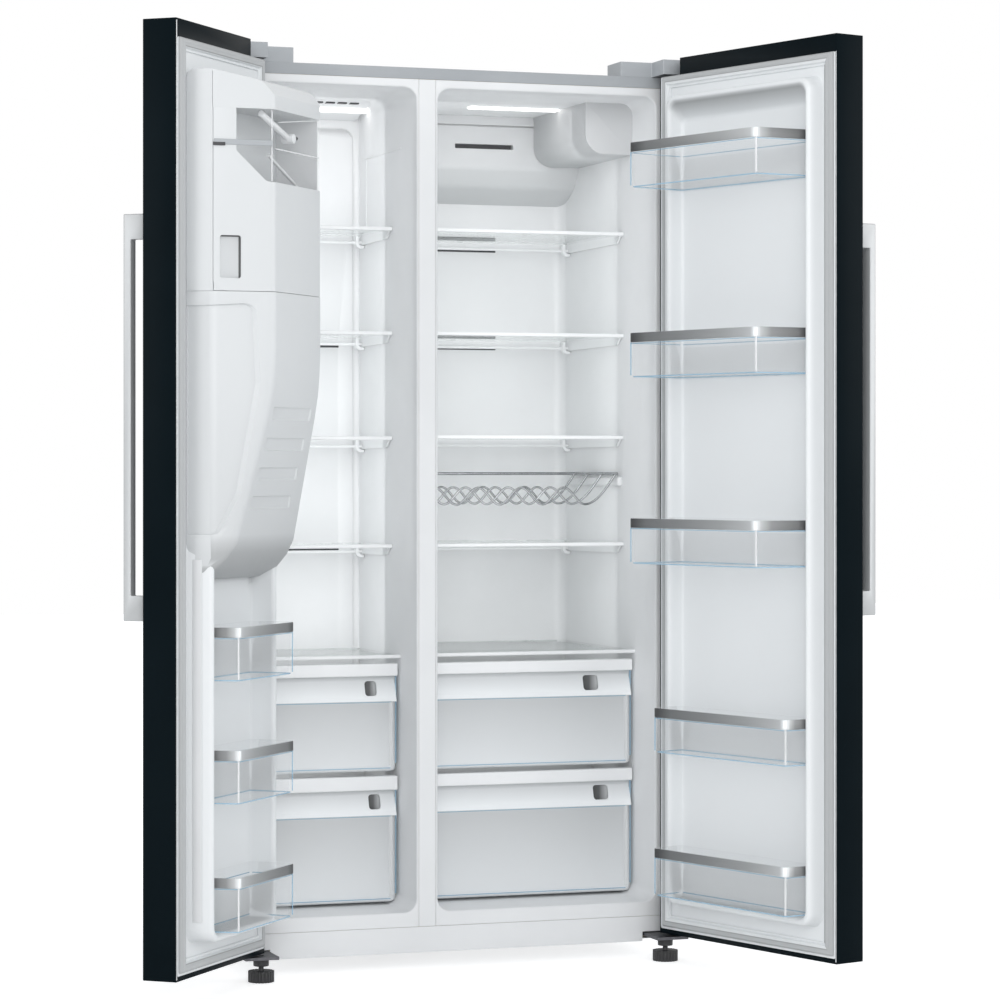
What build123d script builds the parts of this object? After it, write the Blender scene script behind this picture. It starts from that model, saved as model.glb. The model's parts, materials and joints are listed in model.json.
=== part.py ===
"""Side by side refrigerator: freezer on the left, fridge on the right, both doors standing open.

Millimetres, +Z up, +Y to the back. The origin is on the floor under the middle of the cabinet.
"""

import os
from math import cos, radians, sin

from build123d import *

os.makedirs("parts", exist_ok=True)

# Cabinet
cabinet_width = 908.0
cabinet_depth = 600.0
cabinet_top = 1757.0
cabinet_bottom = 38.0
sheet = 1.0
side_flange = 10.0
front_band = 22.0
seam = 0.5

# Compartments
liner_wall = 2.0
side_wall = 43.0
ceiling_wall = 39.0
floor_z = 112.0
mullion_x = -67.0
mullion_width = 44.0
mullion_lip = 5.0
compartment_depth = 529.0
corner_radius = 25.0
hump_depth = 345.0
hump_foam = 40.0
ledge = 8.0
ledge_setback = 150.0
ceiling_z = cabinet_top - ceiling_wall

# Heights inside the cabinet are given for a compartment this high, and keep in proportion to it
drawn_height = 1606.0


def level(height):
    """A height inside the cabinet, moved in proportion when the cabinet is made taller or lower."""
    return floor_z + (height - floor_z) * (ceiling_z - floor_z) / drawn_height


hump_top = level(368.0)

# Kick plate
kick_bottom = 33.0
kick_top = 83.0
kick_wall = 3.0
kick_end_gap = 2.0
kick_foam_gap = 9.0

# Doors
door_thickness = 68.0
door_gap = 10.0
door_split = -70.5
split_gap = 5.0
door_bottom = 54.0
door_rise = 29.0
door_top = cabinet_top + door_rise
door_sheet = 1.2
door_edge_radius = 4.0
door_rim_lap = 4.0
door_rim_end = 8.0
pin_block = 30.0
pin_block_half = 14.0
pin_block_cap = 8.0
notch_width = 62.0
notch_depth = 34.0
hinge_inset = 14.0
hinge_forward = 40.0
freezer_open = 129.5
fridge_open = 107.0
gasket_width = 24.0
gasket_play = 0.3
gasket_edge = 5.0
gasket_low = 15.0
gasket_base = 3.5
door_liner_wall = 2.0
door_liner_edge = 5.0
door_liner_free_edge = 3.0
dyke_wall = 12.0
dyke_inset = 44.0
dyke_clearance = 8.0
freezer_dyke_height = 54.0
fridge_dyke_height = 45.0
freezer_dyke_margin = 36.0
fridge_dyke_margin = 36.0
cove_height = 36.0

# Hinges, feet and rollers
pin_radius = 6.0
running_fit = 0.05
pin_length = 24.0
hinge_plate = 4.0
hinge_cover_height = 29.0
hinge_cover_width = 117.0
hinge_nose_width = 50.0
hinge_nose_reach = 20.0
hinge_cover_depth = 75.0
hinge_cover_wall = 2.5
hinge_cover_round = 2.4
hinge_cover_gap = 1.0
bracket_thickness = 6.0
bracket_width = 66.0
bracket_reach = 75.0
washer_radius = 11.0
foot_radius = 25.0
foot_height = 21.0
foot_stem_radius = 5.0
foot_side = 40.0
foot_forward = 46.0
foot_grooves = 24
foot_groove_radius = 1.6
roller_radius = 18.0
roller_width = 24.0
roller_side = 74.0
roller_back = 45.0
axle_radius = 5.0
ear_wall = 6.0
ear_gap = 1.0
ear_below = 9.0
ear_half = 14.0

# Handles
handle_width = 22.0
handle_thickness = 15.0
handle_standoff = 32.0
handle_low = level(700.0)
handle_high = level(1437.0)
handle_post = 46.0
handle_edge = 28.0
handle_round = 3.0

# Shelves
glass = 4.0
glass_play = 0.3
shelf_trim_height = 11.0
shelf_trim_depth = 16.0
shelf_rail = 6.0
shelf_gusset = 34.0
shelf_hook = 60.0
shelf_lip = 1.0
shelf_side_gap = 3.0
fridge_shelf_heights = [level(z) for z in (1459.0, 1251.0, 1043.0, 825.0)]
freezer_shelf_heights = [level(z) for z in (1457.0, 1249.0, 1040.0, 825.0)]
fridge_shelf_front = 166.0
freezer_shelf_front = 150.0
fridge_shelf_back = 505.0
evaporator_depth = 384.0
shelf_back_gap = 14.0

# Drawers
drawer_wall = 2.5
drawer_side_gap = 8.0
drawer_bar_depth = 26.0
drawer_bar_round = 4.0
drawer_face = 3.0
drawer_foot = 8.0
drawer_radius = 14.0
drawer_lip = 4.0
drawer_lip_setback = 54.0
fridge_drawer_front = 105.0
freezer_drawer_front = 99.0
fridge_cover_z = level(608.0)
freezer_cover_z = level(607.0)
cover_trim = 8.0
lower_drawer_back = 335.0
fridge_upper_back = 495.0
freezer_upper_back = 368.0
fridge_bars = [(level(591.0), level(567.0)), (level(370.0), level(344.0))]
freezer_bars = [(level(592.0), level(566.0)), (level(370.0), level(341.0))]
fridge_drawer_floors = [level(378.0), floor_z + drawer_foot]
freezer_drawer_floors = [level(378.0), floor_z + drawer_foot]
grip_width = 44.0
grip_height = 26.0
grip_inset = 96.0
grip_drop = 12.0
drawer_rail = 7.0

# Door bins
bin_wall = 2.5
bin_round = 22.0
bin_back_gap = 0.3
bin_end_gap = 2.0
bin_taper = 16.0
bin_back_rise = 10.0
bin_trim_wall = 1.2
bin_trim_gap = 0.3
bin_trim_height = 19.0
bin_trim_start = 14.0
bin_lug = 10.0
bin_lug_reach = 40.0
bin_free_taper = 2.0
fridge_upper_bin_reach = 138.0
fridge_lower_bin_reach = 78.0
freezer_bin_reach = 95.0
fridge_upper_bins = [
    (level(1520.0), level(1610.0)),
    (level(1151.0), level(1240.0)),
    (level(789.0), level(880.0)),
]
fridge_lower_bins = [(level(419.0), level(509.0)), (level(139.0), level(235.0))]
freezer_bins = [
    (level(602.0), level(690.0)),
    (level(380.0), level(468.0)),
    (level(148.0), level(238.0)),
]

# Ice system on the freezer door
ice_reach = 143.0
ice_slant = 75.0
ice_side_gap = 2.0
ice_wall = 3.0
ice_gap = 1.0
ice_seam = level(1296.0)
ice_roof = level(1698.0)
ice_roof_drop = 46.0
ice_roof_skin = 6.0
ice_window_low = level(1498.0)
ice_window_top = level(1648.0)
ice_outlet_half = 20.0
ice_outlet_near = 12.0
ice_outlet_far = 44.0
chute_low = level(772.0)
chute_knee = level(1130.0)
chute_heel_reach = 86.0
chute_heel = level(842.0)
chute_toe_reach = 34.0
chute_round = 150.0
auger_radius = 34.0
auger_shaft = 5.0
auger_lift = 49.0
auger_height = ice_seam + auger_lift
auger_vanes = 9
auger_vane_width = 6.0
auger_vane_depth = 8.0
auger_vane_turn = 40.0
auger_vane_inset = 20.0
auger_web_inset = 40.0
auger_web_rise = 20.0

# Dispenser on the outside of the freezer door
niche_width = 190.0
niche_low = level(930.0)
niche_high = level(1190.0)
niche_depth = 60.0
niche_wall = 2.5
niche_frame = 12.0
panel_height = 80.0
niche_proud = 2.0
paddle_width = 56.0
paddle_height = 120.0
paddle_thickness = 5.0
paddle_pin = 3.0
paddle_drop = 46.0
paddle_back = 30.0
ice_duct_half = 22.0
ice_duct_near = 4.0
ice_duct_far = 40.0
ice_duct_wall = 2.5
ice_duct_gap = 2.0
flap_half = 24.0
flap_near = 3.0
flap_thickness = 4.0
flap_pin = 2.5
flap_back = 14.0
flap_drop = 3.5
pin_ear = 5.0
flap_ear_half = 6.0
flap_ear_height = 10.0
paddle_ear_front = 4.0
paddle_ear_half = 7.0
pin_ear_gap = 1.0
paddle_ear_gap = 2.0

# Inside the cabinet
evaporator_wall = 4.0
cover_side_gap = 1.0
fan_height = level(760.0)
fan_radius = 55.0
fan_shaft = 3.0
fan_boss_radius = 18.0
fan_boss_length = 30.0
fan_shaft_length = 16.0
fan_hub_radius = 15.0
fan_hub_length = 14.0
fan_hub_gap = 9.0
fan_blades = 5
fan_blade_root = 10.0
fan_blade_width = 26.0
fan_blade_wall = 1.6
fan_blade_pitch = 28.0
cover_slots = [level(z) for z in (1229.0, 811.0, 430.0)]
cover_slot_length = 150.0
cover_slot_height = 9.0
cover_slot_shift = 40.0
coil_low = level(420.0)
coil_high = level(640.0)
coil_gap = 12.0
coil_end = 30.0
coil_rows = 5
coil_fins = 15
coil_fin = 1.0
coil_depth = 80.0
coil_tube = 4.0
duct_low = level(1536.0)
duct_reach = 96.0
duct_shoulder = level(1607.0)
duct_belly = 18.0
duct_round = 16.0
duct_slot_width = 129.0
duct_slot_height = 10.0
duct_slot_inset = 153.0
duct_slot_rise = 40.0
duct_slot_depth = 30.0
filter_width = 103.0
filter_height = 105.0
filter_front = 120.0
filter_round = 44.0
fridge_light_drop = 5.0
light_width = 42.0
fridge_light_front = 254.0
freezer_light_front = 300.0
freezer_light_drop = 12.0
freezer_light_gap = 8.0
light_round = 6.0
light_gap = 4.5
fridge_light_length = 192.0
freezer_light_length = 110.0
compressor_radius = 78.0
compressor_height = 190.0
compressor_side = 204.0
compressor_foot = 12.0
compressor_flat = 0.82
compressor_round = 36.0
compressor_back = 105.0
condenser_length = 300.0
condenser_passes = 5
condenser_tube = 3.5
condenser_fins = 16
condenser_fin = 1.0
condenser_depth = 90.0
condenser_spread = 25.0
condenser_gap = 30.0
condenser_head = 60.0
condenser_end = 10.0
valve_side = 64.0
valve_z = 190.0
valve_radius = 13.2
valve_stub = 16.0
valve_block = 40.0
valve_depth = 50.0
valve_bracket = 6.0
valve_bore = 5.0
valve_hole_gap = 2.0
louvre_count = 9
louvre_length = 420.0
louvre_height = 6.0
louvre_pitch = 16.0

# Bottle rack
rack_wire = 3.0
rack_z = level(921.0)
rack_front = 176.0
rack_spacing = 150.0
rack_waves = 5
rack_wave_height = 17.0
rack_hang = 26.0
rack_rod = 4.0
rack_end = 8.0
rack_block = 12.0
rack_rail_rise = 42.0

# Worked out from the sizes above
half_width = cabinet_width / 2
front_y = -cabinet_depth / 2
back_y = cabinet_depth / 2
valve_x = -half_width + valve_side
compressor_x = half_width - compressor_side
freezer_left = -half_width + side_wall
freezer_right = mullion_x - mullion_width / 2
fridge_left = mullion_x + mullion_width / 2
fridge_right = half_width - side_wall
compartment_back = front_y + compartment_depth
machine_front = front_y + hump_depth + hump_foam
machine_top = hump_top - hump_foam
base_top = cabinet_bottom + 2 * sheet
band_low = cabinet_top - front_band
hinge_x = half_width - hinge_inset
hinge_y = front_y - hinge_forward
inner_face = hinge_forward - door_gap
notch_z = door_top - notch_depth
freezer_door_width = half_width + door_split - split_gap / 2
fridge_door_width = half_width - door_split - split_gap / 2
gasket_top = notch_z
gasket_bottom = door_bottom + gasket_low
gasket_hinge_side = hinge_inset + seam
gasket_height = door_gap - gasket_play
dyke_low = floor_z + dyke_clearance
dyke_high = ceiling_z - dyke_clearance - seam

freezer_frame = Plane(
    origin=(-hinge_x, hinge_y, 0),
    x_dir=(cos(radians(freezer_open)), -sin(radians(freezer_open)), 0),
    z_dir=(0, 0, 1),
)
fridge_frame = Plane(
    origin=(hinge_x, hinge_y, 0),
    x_dir=(cos(radians(fridge_open)), sin(radians(fridge_open)), 0),
    z_dir=(0, 0, 1),
)
FREEZER = 1
FRIDGE = -1


def save(part, name):
    """Label a finished piece and write it to its own file."""
    part.label = name
    export_step(part, f"parts/{name}.step")


def slab(x0, x1, y0, y1, z0, z1, mode=Mode.ADD):
    """A block between two corners, in the frame of the part being built."""
    with Locations(((x0 + x1) / 2, (y0 + y1) / 2, (z0 + z1) / 2)):
        Box(x1 - x0, y1 - y0, z1 - z0, mode=mode)


def rod(x, y, z, radius, length, turn=(0, 0, 0), mode=Mode.ADD):
    """A cylinder centred on a point, standing up unless it is turned."""
    with Locations(Location((x, y, z), turn)):
        Cylinder(radius, length, mode=mode)


def door_x(side, along):
    """Place along a door, measured from its hinge edge, in the door's frame."""
    return side * (along - hinge_inset)


def door_slab(side, along0, along1, out0, out1, z0, z1, mode=Mode.ADD):
    """A block on a door: along it from the hinge edge, and out of its inner face."""
    x0, x1 = sorted((door_x(side, along0), door_x(side, along1)))
    slab(x0, x1, inner_face + out0, inner_face + out1, z0, z1, mode)


def facing_front(y):
    """A plane across the cabinet at a depth, with its own Y pointing up."""
    return Plane(origin=(0, y, 0), x_dir=(1, 0, 0), z_dir=(0, -1, 0))


def facing_side(x):
    """A plane along the cabinet at a width, drawn in depth and height."""
    return Plane(origin=(x, 0, 0), x_dir=(0, 1, 0), z_dir=(1, 0, 0))


# Cabinet wrapper: two sides and a roof bent from one sheet, with a folded front band
with BuildPart() as cabinet_wrapper:
    wrapper_back = back_y - sheet
    slab(-half_width, half_width, front_y, wrapper_back, cabinet_bottom, cabinet_top)
    inner_x = half_width - sheet
    roof_low = cabinet_top - sheet
    slab(-inner_x, inner_x, front_y + sheet, wrapper_back, cabinet_bottom, roof_low, Mode.SUBTRACT)
    flange_x = half_width - side_flange
    slab(-flange_x, flange_x, front_y, front_y + sheet, cabinet_bottom, band_low, Mode.SUBTRACT)
    slab(-inner_x, inner_x, front_y, front_y + sheet, cabinet_bottom, kick_top + seam, Mode.SUBTRACT)
save(cabinet_wrapper.part, "cabinet_wrapper")

# Back panel with louvres for the machine room and a hole for the water inlet
with BuildPart() as back_panel:
    slab(-half_width, half_width, back_y - sheet, back_y, cabinet_bottom, cabinet_top)
    louvre_z = (cabinet_bottom + machine_top) / 2
    with Locations(Plane(origin=(0, back_y - sheet / 2, louvre_z), x_dir=(1, 0, 0), z_dir=(0, 1, 0))):
        with GridLocations(0, louvre_pitch, 1, louvre_count):
            Box(louvre_length, louvre_height, 4 * sheet, mode=Mode.SUBTRACT)
    inlet_radius = valve_radius + valve_hole_gap
    rod(valve_x, back_y - sheet / 2, valve_z, inlet_radius, 4 * sheet, (90, 0, 0), Mode.SUBTRACT)
save(back_panel.part, "back_panel")

# Base plate, with ears under it for the roller axle
roller_x = half_width - roller_side
roller_y = back_y - roller_back
with BuildPart() as base_plate:
    plate_x = half_width - sheet
    slab(-plate_x, plate_x, front_y + kick_wall, back_y - sheet, cabinet_bottom, base_top)
    ear_offset = roller_width / 2 + ear_gap + ear_wall / 2
    ear_low = roller_radius - ear_below
    for ear_x in (roller_x - ear_offset, roller_x + ear_offset):
        for side in (-1, 1):
            x = side * ear_x
            x0, x1 = x - ear_wall / 2, x + ear_wall / 2
            slab(x0, x1, roller_y - ear_half, roller_y + ear_half, ear_low, cabinet_bottom)
    rod(0, roller_y, roller_radius, axle_radius + running_fit, cabinet_width, (0, 90, 0), Mode.SUBTRACT)
save(base_plate.part, "base_plate")

# Rear rollers on their axle
with BuildPart() as rear_rollers:
    rod(0, roller_y, roller_radius, axle_radius, 2 * (roller_x + ear_offset + ear_wall / 2), (0, 90, 0))
    for side in (-1, 1):
        rod(side * roller_x, roller_y, roller_radius, roller_radius, roller_width, (0, 90, 0))
save(rear_rollers.part, "rear_rollers")


def compartment_liner(left, right, lip_left, lip_right, shelf_heights, rail_back, rail_heights):
    """An open-fronted box with a front rim, a hump over the machine room and ledges for what slides in."""
    width = right - left
    height = ceiling_z - floor_z
    middle = ((left + right) / 2, (ceiling_z + floor_z) / 2)
    with BuildPart() as liner:
        with BuildSketch(facing_front(front_y)):
            with Locations(middle):
                RectangleRounded(width + 2 * liner_wall, height + 2 * liner_wall, corner_radius + liner_wall)
        extrude(amount=-(compartment_depth + liner_wall))
        with BuildSketch(facing_front(front_y)):
            with Locations(((lip_left + lip_right) / 2, (kick_top + seam + band_low - seam) / 2)):
                Rectangle(lip_right - lip_left, band_low - kick_top - 2 * seam)
        extrude(amount=-liner_wall)
        with BuildSketch(facing_front(front_y)):
            with Locations(middle):
                RectangleRounded(width, height, corner_radius)
        extrude(amount=-compartment_depth, mode=Mode.SUBTRACT)
        hump_y = front_y + hump_depth
        slab(
            left - liner_wall,
            right + liner_wall,
            hump_y,
            compartment_back + liner_wall,
            floor_z - liner_wall,
            hump_top - liner_wall,
            Mode.SUBTRACT,
        )
        with BuildSketch(facing_front(hump_y - seam)):
            with Locations(middle):
                RectangleRounded(width + 2 * liner_wall, height + 2 * liner_wall, corner_radius + liner_wall)
            with Locations((middle[0], hump_top + height / 2)):
                Rectangle(width + 2 * liner_wall, height, mode=Mode.SUBTRACT)
        extrude(amount=-liner_wall)
        slab(left, right, hump_y, compartment_back, hump_top - liner_wall, hump_top)
        ledge_front = front_y + fridge_shelf_front + shelf_trim_depth + ledge
        for z in shelf_heights:
            under = z - glass - shelf_rail - shelf_gusset
            slab(left, left + ledge, ledge_front + ledge_setback, rail_back, under - ledge, under)
            slab(right - ledge, right, ledge_front + ledge_setback, rail_back, under - ledge, under)
        for z in rail_heights:
            slab(left, left + drawer_rail, ledge_front, hump_y - ledge, z - ledge, z)
            slab(right - drawer_rail, right, ledge_front, hump_y - ledge, z - ledge, z)
    return liner.part


lip_x = half_width - side_flange - seam
mullion_left = freezer_right + mullion_lip
mullion_right = fridge_left - mullion_lip
evaporator_y = front_y + evaporator_depth
freezer_rails = [bar[1] - drawer_lip for bar in freezer_bars]
fridge_rails = [bar[1] - drawer_lip for bar in fridge_bars]
freezer_liner = compartment_liner(
    freezer_left,
    freezer_right,
    -lip_x,
    mullion_left - seam,
    freezer_shelf_heights,
    evaporator_y - shelf_back_gap,
    freezer_rails,
)
save(freezer_liner, "freezer_liner")
fridge_liner = compartment_liner(
    fridge_left,
    fridge_right,
    mullion_right + seam,
    lip_x,
    fridge_shelf_heights,
    front_y + fridge_shelf_back,
    fridge_rails,
)
save(fridge_liner, "fridge_liner")

# Mullion strip that closes the front between the two liners
with BuildPart() as mullion_strip:
    slab(mullion_left, mullion_right, front_y, front_y + liner_wall, kick_top + seam, band_low - seam)
save(mullion_strip.part, "mullion_strip")

# Insulation foam that fills the walls round both liners, over the machine room
with BuildPart() as insulation_foam:
    foam_x = half_width - sheet - seam
    foam_front = front_y + liner_wall + seam
    foam_back = back_y - sheet - seam
    slab(-foam_x, foam_x, foam_front, foam_back, base_top + seam, cabinet_top - sheet - seam)
    slab(-foam_x, foam_x, machine_front, foam_back, base_top + seam, machine_top, Mode.SUBTRACT)
    for left, right in ((freezer_left, freezer_right), (fridge_left, fridge_right)):
        room = liner_wall + seam
        with BuildSketch(facing_front(foam_front)):
            with Locations(((left + right) / 2, (ceiling_z + floor_z) / 2)):
                RectangleRounded(
                    right - left + 2 * room, ceiling_z - floor_z + 2 * room, corner_radius + room
                )
        extrude(amount=-(compartment_depth + room), mode=Mode.SUBTRACT)
        hump_y = front_y + hump_depth + room
        slab(
            left - room,
            right + room,
            hump_y,
            compartment_back + room,
            floor_z - room,
            hump_top - room,
        )
    slab(-foam_x, foam_x, machine_front, foam_back, base_top + seam, machine_top, Mode.SUBTRACT)
    foam_kick = front_y + kick_wall + kick_foam_gap
    slab(-foam_x, foam_x, foam_front, foam_kick, base_top + seam, kick_top + kick_end_gap, Mode.SUBTRACT)
save(insulation_foam.part, "insulation_foam")

# Kick plate, notched at both ends for the bottom hinges
bracket_z = door_bottom - hinge_plate - bracket_thickness
bracket_out = half_width - kick_end_gap
bracket_in = bracket_out - bracket_width
with BuildPart() as kick_plate:
    kick_x = half_width - kick_end_gap
    slab(-kick_x, kick_x, front_y, front_y + kick_wall, kick_bottom, kick_top)
    notch_in = bracket_in - kick_end_gap
    notch_top = door_bottom - hinge_plate + kick_end_gap
    for x0, x1 in ((-half_width, -notch_in), (notch_in, half_width)):
        slab(x0, x1, front_y, front_y + kick_wall, kick_bottom, notch_top, Mode.SUBTRACT)
save(kick_plate.part, "kick_plate")

# Bottom hinges: a bolted flange, a forward arm, a pin up into the door and a thread for the foot
foot_x = half_width - foot_side
foot_y = front_y - foot_forward
with BuildPart() as bottom_hinges:
    for side in (-1, 1):
        x0, x1 = sorted((side * bracket_in, side * bracket_out))
        arm_front = front_y - bracket_reach
        arm_back = front_y + kick_wall + bracket_thickness
        slab(x0, x1, arm_front, arm_back, bracket_z, bracket_z + bracket_thickness)
        slab(x0, x1, front_y + kick_wall, arm_back, bracket_z, kick_top - 1)
        pin_x = side * hinge_x
        arm_top = bracket_z + bracket_thickness
        rod(pin_x, hinge_y, (arm_top + door_bottom) / 2, washer_radius, door_bottom - arm_top)
        rod(pin_x, hinge_y, door_bottom + pin_length / 2 - 1, pin_radius, pin_length + 2)
        rod(side * foot_x, foot_y, bracket_z, foot_stem_radius + running_fit, 60, mode=Mode.SUBTRACT)
save(bottom_hinges.part, "bottom_hinges")

# Front levelling feet, knurled for turning by hand
for side, name in ((-1, "left_front_foot"), (1, "right_front_foot")):
    with BuildPart() as foot:
        with BuildSketch():
            with Locations((side * foot_x, foot_y)):
                Circle(foot_radius)
                with PolarLocations(foot_radius, foot_grooves):
                    Circle(foot_groove_radius, mode=Mode.SUBTRACT)
        extrude(amount=foot_height)
        stem_top = bracket_z + bracket_thickness - 1
        rod(side * foot_x, foot_y, stem_top / 2, foot_stem_radius, stem_top)
    save(foot.part, name)

# Top hinges: a plate on the roof, an arm over the door and a pin down into it
with BuildPart() as top_hinges:
    for side in (-1, 1):
        plate_out = half_width - hinge_cover_wall - hinge_cover_gap
        plate_in = half_width - hinge_cover_width + hinge_cover_wall + hinge_cover_gap
        arm_in = half_width - hinge_nose_width + hinge_cover_wall + hinge_cover_gap
        x0, x1 = sorted((side * plate_in, side * plate_out))
        a0, a1 = sorted((side * arm_in, side * plate_out))
        rear = front_y + hinge_cover_depth - hinge_cover_wall - hinge_cover_gap
        front = hinge_y - hinge_nose_reach + hinge_cover_wall + hinge_cover_gap
        slab(x0, x1, front_y + hinge_cover_wall, rear, cabinet_top, cabinet_top + hinge_plate)
        slab(a0, a1, front, front_y + hinge_cover_wall, cabinet_top, cabinet_top + hinge_plate)
        pin_top = cabinet_top + hinge_plate
        pin_low = notch_z - pin_length
        rod(side * hinge_x, hinge_y, (pin_top + pin_low) / 2, pin_radius, pin_top - pin_low)
save(top_hinges.part, "top_hinges")

# Hinge covers, moulded caps over the top hinges
with BuildPart() as hinge_covers:
    for side in (-1, 1):
        cover_top = cabinet_top + hinge_cover_height
        with BuildSketch(Plane.XY.offset(cabinet_top)):
            with BuildLine():
                inside = side * (half_width - hinge_cover_width)
                nose = side * (half_width - hinge_nose_width)
                outside = side * half_width
                nose_y = hinge_y - hinge_nose_reach
                rear_y = front_y + hinge_cover_depth
                Polyline(
                    (inside, front_y),
                    (nose, front_y),
                    (nose, nose_y),
                    (outside, nose_y),
                    (outside, rear_y),
                    (inside, rear_y),
                    close=True,
                )
            make_face()
        extrude(amount=hinge_cover_height)
        x0, x1 = sorted((inside + side * hinge_cover_wall, outside - side * hinge_cover_wall))
        n0, n1 = sorted((nose + side * hinge_cover_wall, outside - side * hinge_cover_wall))
        hollow_top = cover_top - hinge_cover_wall
        slab(
            x0,
            x1,
            front_y + hinge_cover_wall,
            rear_y - hinge_cover_wall,
            cabinet_top,
            hollow_top,
            Mode.SUBTRACT,
        )
        nose_front, nose_back = nose_y + hinge_cover_wall, front_y + hinge_cover_wall
        slab(n0, n1, nose_front, nose_back, cabinet_top, hollow_top, Mode.SUBTRACT)
    fillet(hinge_covers.edges().filter_by(Axis.Z).group_by(SortBy.LENGTH)[-1], radius=hinge_cover_round)
save(hinge_covers.part, "hinge_covers")


def glass_shelf(left, right, front, rear, z, gusset):
    """A glass pane let into a moulded frame: a front trim and two side rails that deepen to the back."""
    x0, x1 = left + shelf_side_gap, right - shelf_side_gap
    with BuildPart() as shelf:
        slab(x0, x1, front, front + shelf_trim_depth, z - shelf_trim_height, z)
        for rail_x in (x0, x1 - shelf_rail):
            with BuildSketch(facing_side(rail_x)):
                with BuildLine():
                    Polyline(
                        (front + shelf_trim_depth, z),
                        (front + shelf_trim_depth, z - shelf_trim_height),
                        (rear - shelf_hook, z - glass - shelf_rail - gusset),
                        (rear, z - glass - shelf_rail - gusset),
                        (rear, z),
                        close=True,
                    )
                make_face()
            extrude(amount=shelf_rail)
        pane_room = glass + 2 * glass_play
        slab(
            x0 + shelf_rail / 2,
            x1 - shelf_rail / 2,
            front + shelf_trim_depth / 2,
            rear,
            z - pane_room - shelf_lip,
            z - shelf_lip,
            Mode.SUBTRACT,
        )
        slab(
            x0 + shelf_rail / 2 + glass_play,
            x1 - shelf_rail / 2 - glass_play,
            front + shelf_trim_depth / 2 + glass_play,
            rear,
            z - shelf_lip - glass_play - glass,
            z - shelf_lip - glass_play,
        )
    return shelf.part


freezer_shelf_rear = evaporator_y - shelf_back_gap
for number, z in enumerate(freezer_shelf_heights, 1):
    freezer_shelf = glass_shelf(
        freezer_left, freezer_right, front_y + freezer_shelf_front, freezer_shelf_rear, z, shelf_gusset
    )
    save(freezer_shelf, f"freezer_shelf_{number}")
for number, z in enumerate(fridge_shelf_heights, 1):
    fridge_shelf = glass_shelf(
        fridge_left, fridge_right, front_y + fridge_shelf_front, front_y + fridge_shelf_back, z, shelf_gusset
    )
    save(fridge_shelf, f"fridge_shelf_{number}")

# Glass covers over the drawers, each with a slim front trim
with BuildPart() as drawer_covers:
    for left, right, reach, wall_y, z in (
        (freezer_left, freezer_right, freezer_drawer_front, evaporator_y, freezer_cover_z),
        (fridge_left, fridge_right, fridge_drawer_front, compartment_back, fridge_cover_z),
    ):
        front, rear = front_y + reach, wall_y - shelf_lip
        x0, x1 = left + seam, right - seam
        slab(x0, x1, front + cover_trim + glass_play, rear, z - glass, z)
        slab(x0, x1, front, front + cover_trim, z - glass - shelf_lip, z + shelf_lip)
save(drawer_covers.part, "drawer_covers")


def drawer(left, right, front, rear, bar, floor):
    """A clear box with a rounded section, a bar handle across its front and lips that ride on the rails."""
    bar_top, bar_low = bar
    x0, x1 = left + drawer_side_gap, right - drawer_side_gap
    box_front = front + drawer_face
    with BuildPart() as box:
        with BuildSketch(Plane.XY.offset(floor)):
            with Locations(((x0 + x1) / 2, (box_front + rear) / 2)):
                RectangleRounded(x1 - x0, rear - box_front, drawer_radius)
        extrude(amount=bar_low - floor - glass_play)
        fillet(box.edges().group_by(Axis.Z)[0], radius=drawer_wall * 3)
        with BuildSketch(Plane.XY.offset(floor + drawer_wall)):
            with Locations(((x0 + x1) / 2, (box_front + rear) / 2)):
                RectangleRounded(
                    x1 - x0 - 2 * drawer_wall, rear - box_front - 2 * drawer_wall, drawer_radius - drawer_wall
                )
        extrude(amount=bar_low - floor, mode=Mode.SUBTRACT)
        lip_z = bar_low - glass_play - drawer_lip
        for lip0, lip1 in ((left + seam, x0 + drawer_wall), (x1 - drawer_wall, right - seam)):
            lip_front = box_front + drawer_lip_setback
            slab(lip0, lip1, lip_front, rear - drawer_radius, lip_z + glass_play, lip_z + drawer_lip)
        grip_x = x1 - grip_inset
        grip_z = bar_low - glass_play - grip_drop
        slab(
            grip_x,
            grip_x + grip_width,
            box_front - 1,
            box_front + drawer_wall + 1,
            grip_z - grip_height,
            grip_z,
            Mode.SUBTRACT,
        )
        with BuildSketch(Plane.XY.offset(bar_low)):
            with Locations(((x0 + x1) / 2, front + drawer_bar_depth / 2)):
                RectangleRounded(x1 - x0, drawer_bar_depth, drawer_bar_round)
        extrude(amount=bar_top - bar_low - shelf_lip)
    return box.part


upper_lower = ("upper", "lower")
for number, place in enumerate(upper_lower):
    freezer_rear = front_y + (freezer_upper_back, lower_drawer_back)[number]
    freezer_drawer = drawer(
        freezer_left,
        freezer_right,
        front_y + freezer_drawer_front,
        freezer_rear,
        freezer_bars[number],
        freezer_drawer_floors[number],
    )
    save(freezer_drawer, f"freezer_drawer_{place}")
    fridge_rear = front_y + (fridge_upper_back, lower_drawer_back)[number]
    fridge_drawer = drawer(
        fridge_left,
        fridge_right,
        front_y + fridge_drawer_front,
        fridge_rear,
        fridge_bars[number],
        fridge_drawer_floors[number],
    )
    save(fridge_drawer, f"fridge_drawer_{place}")

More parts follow.
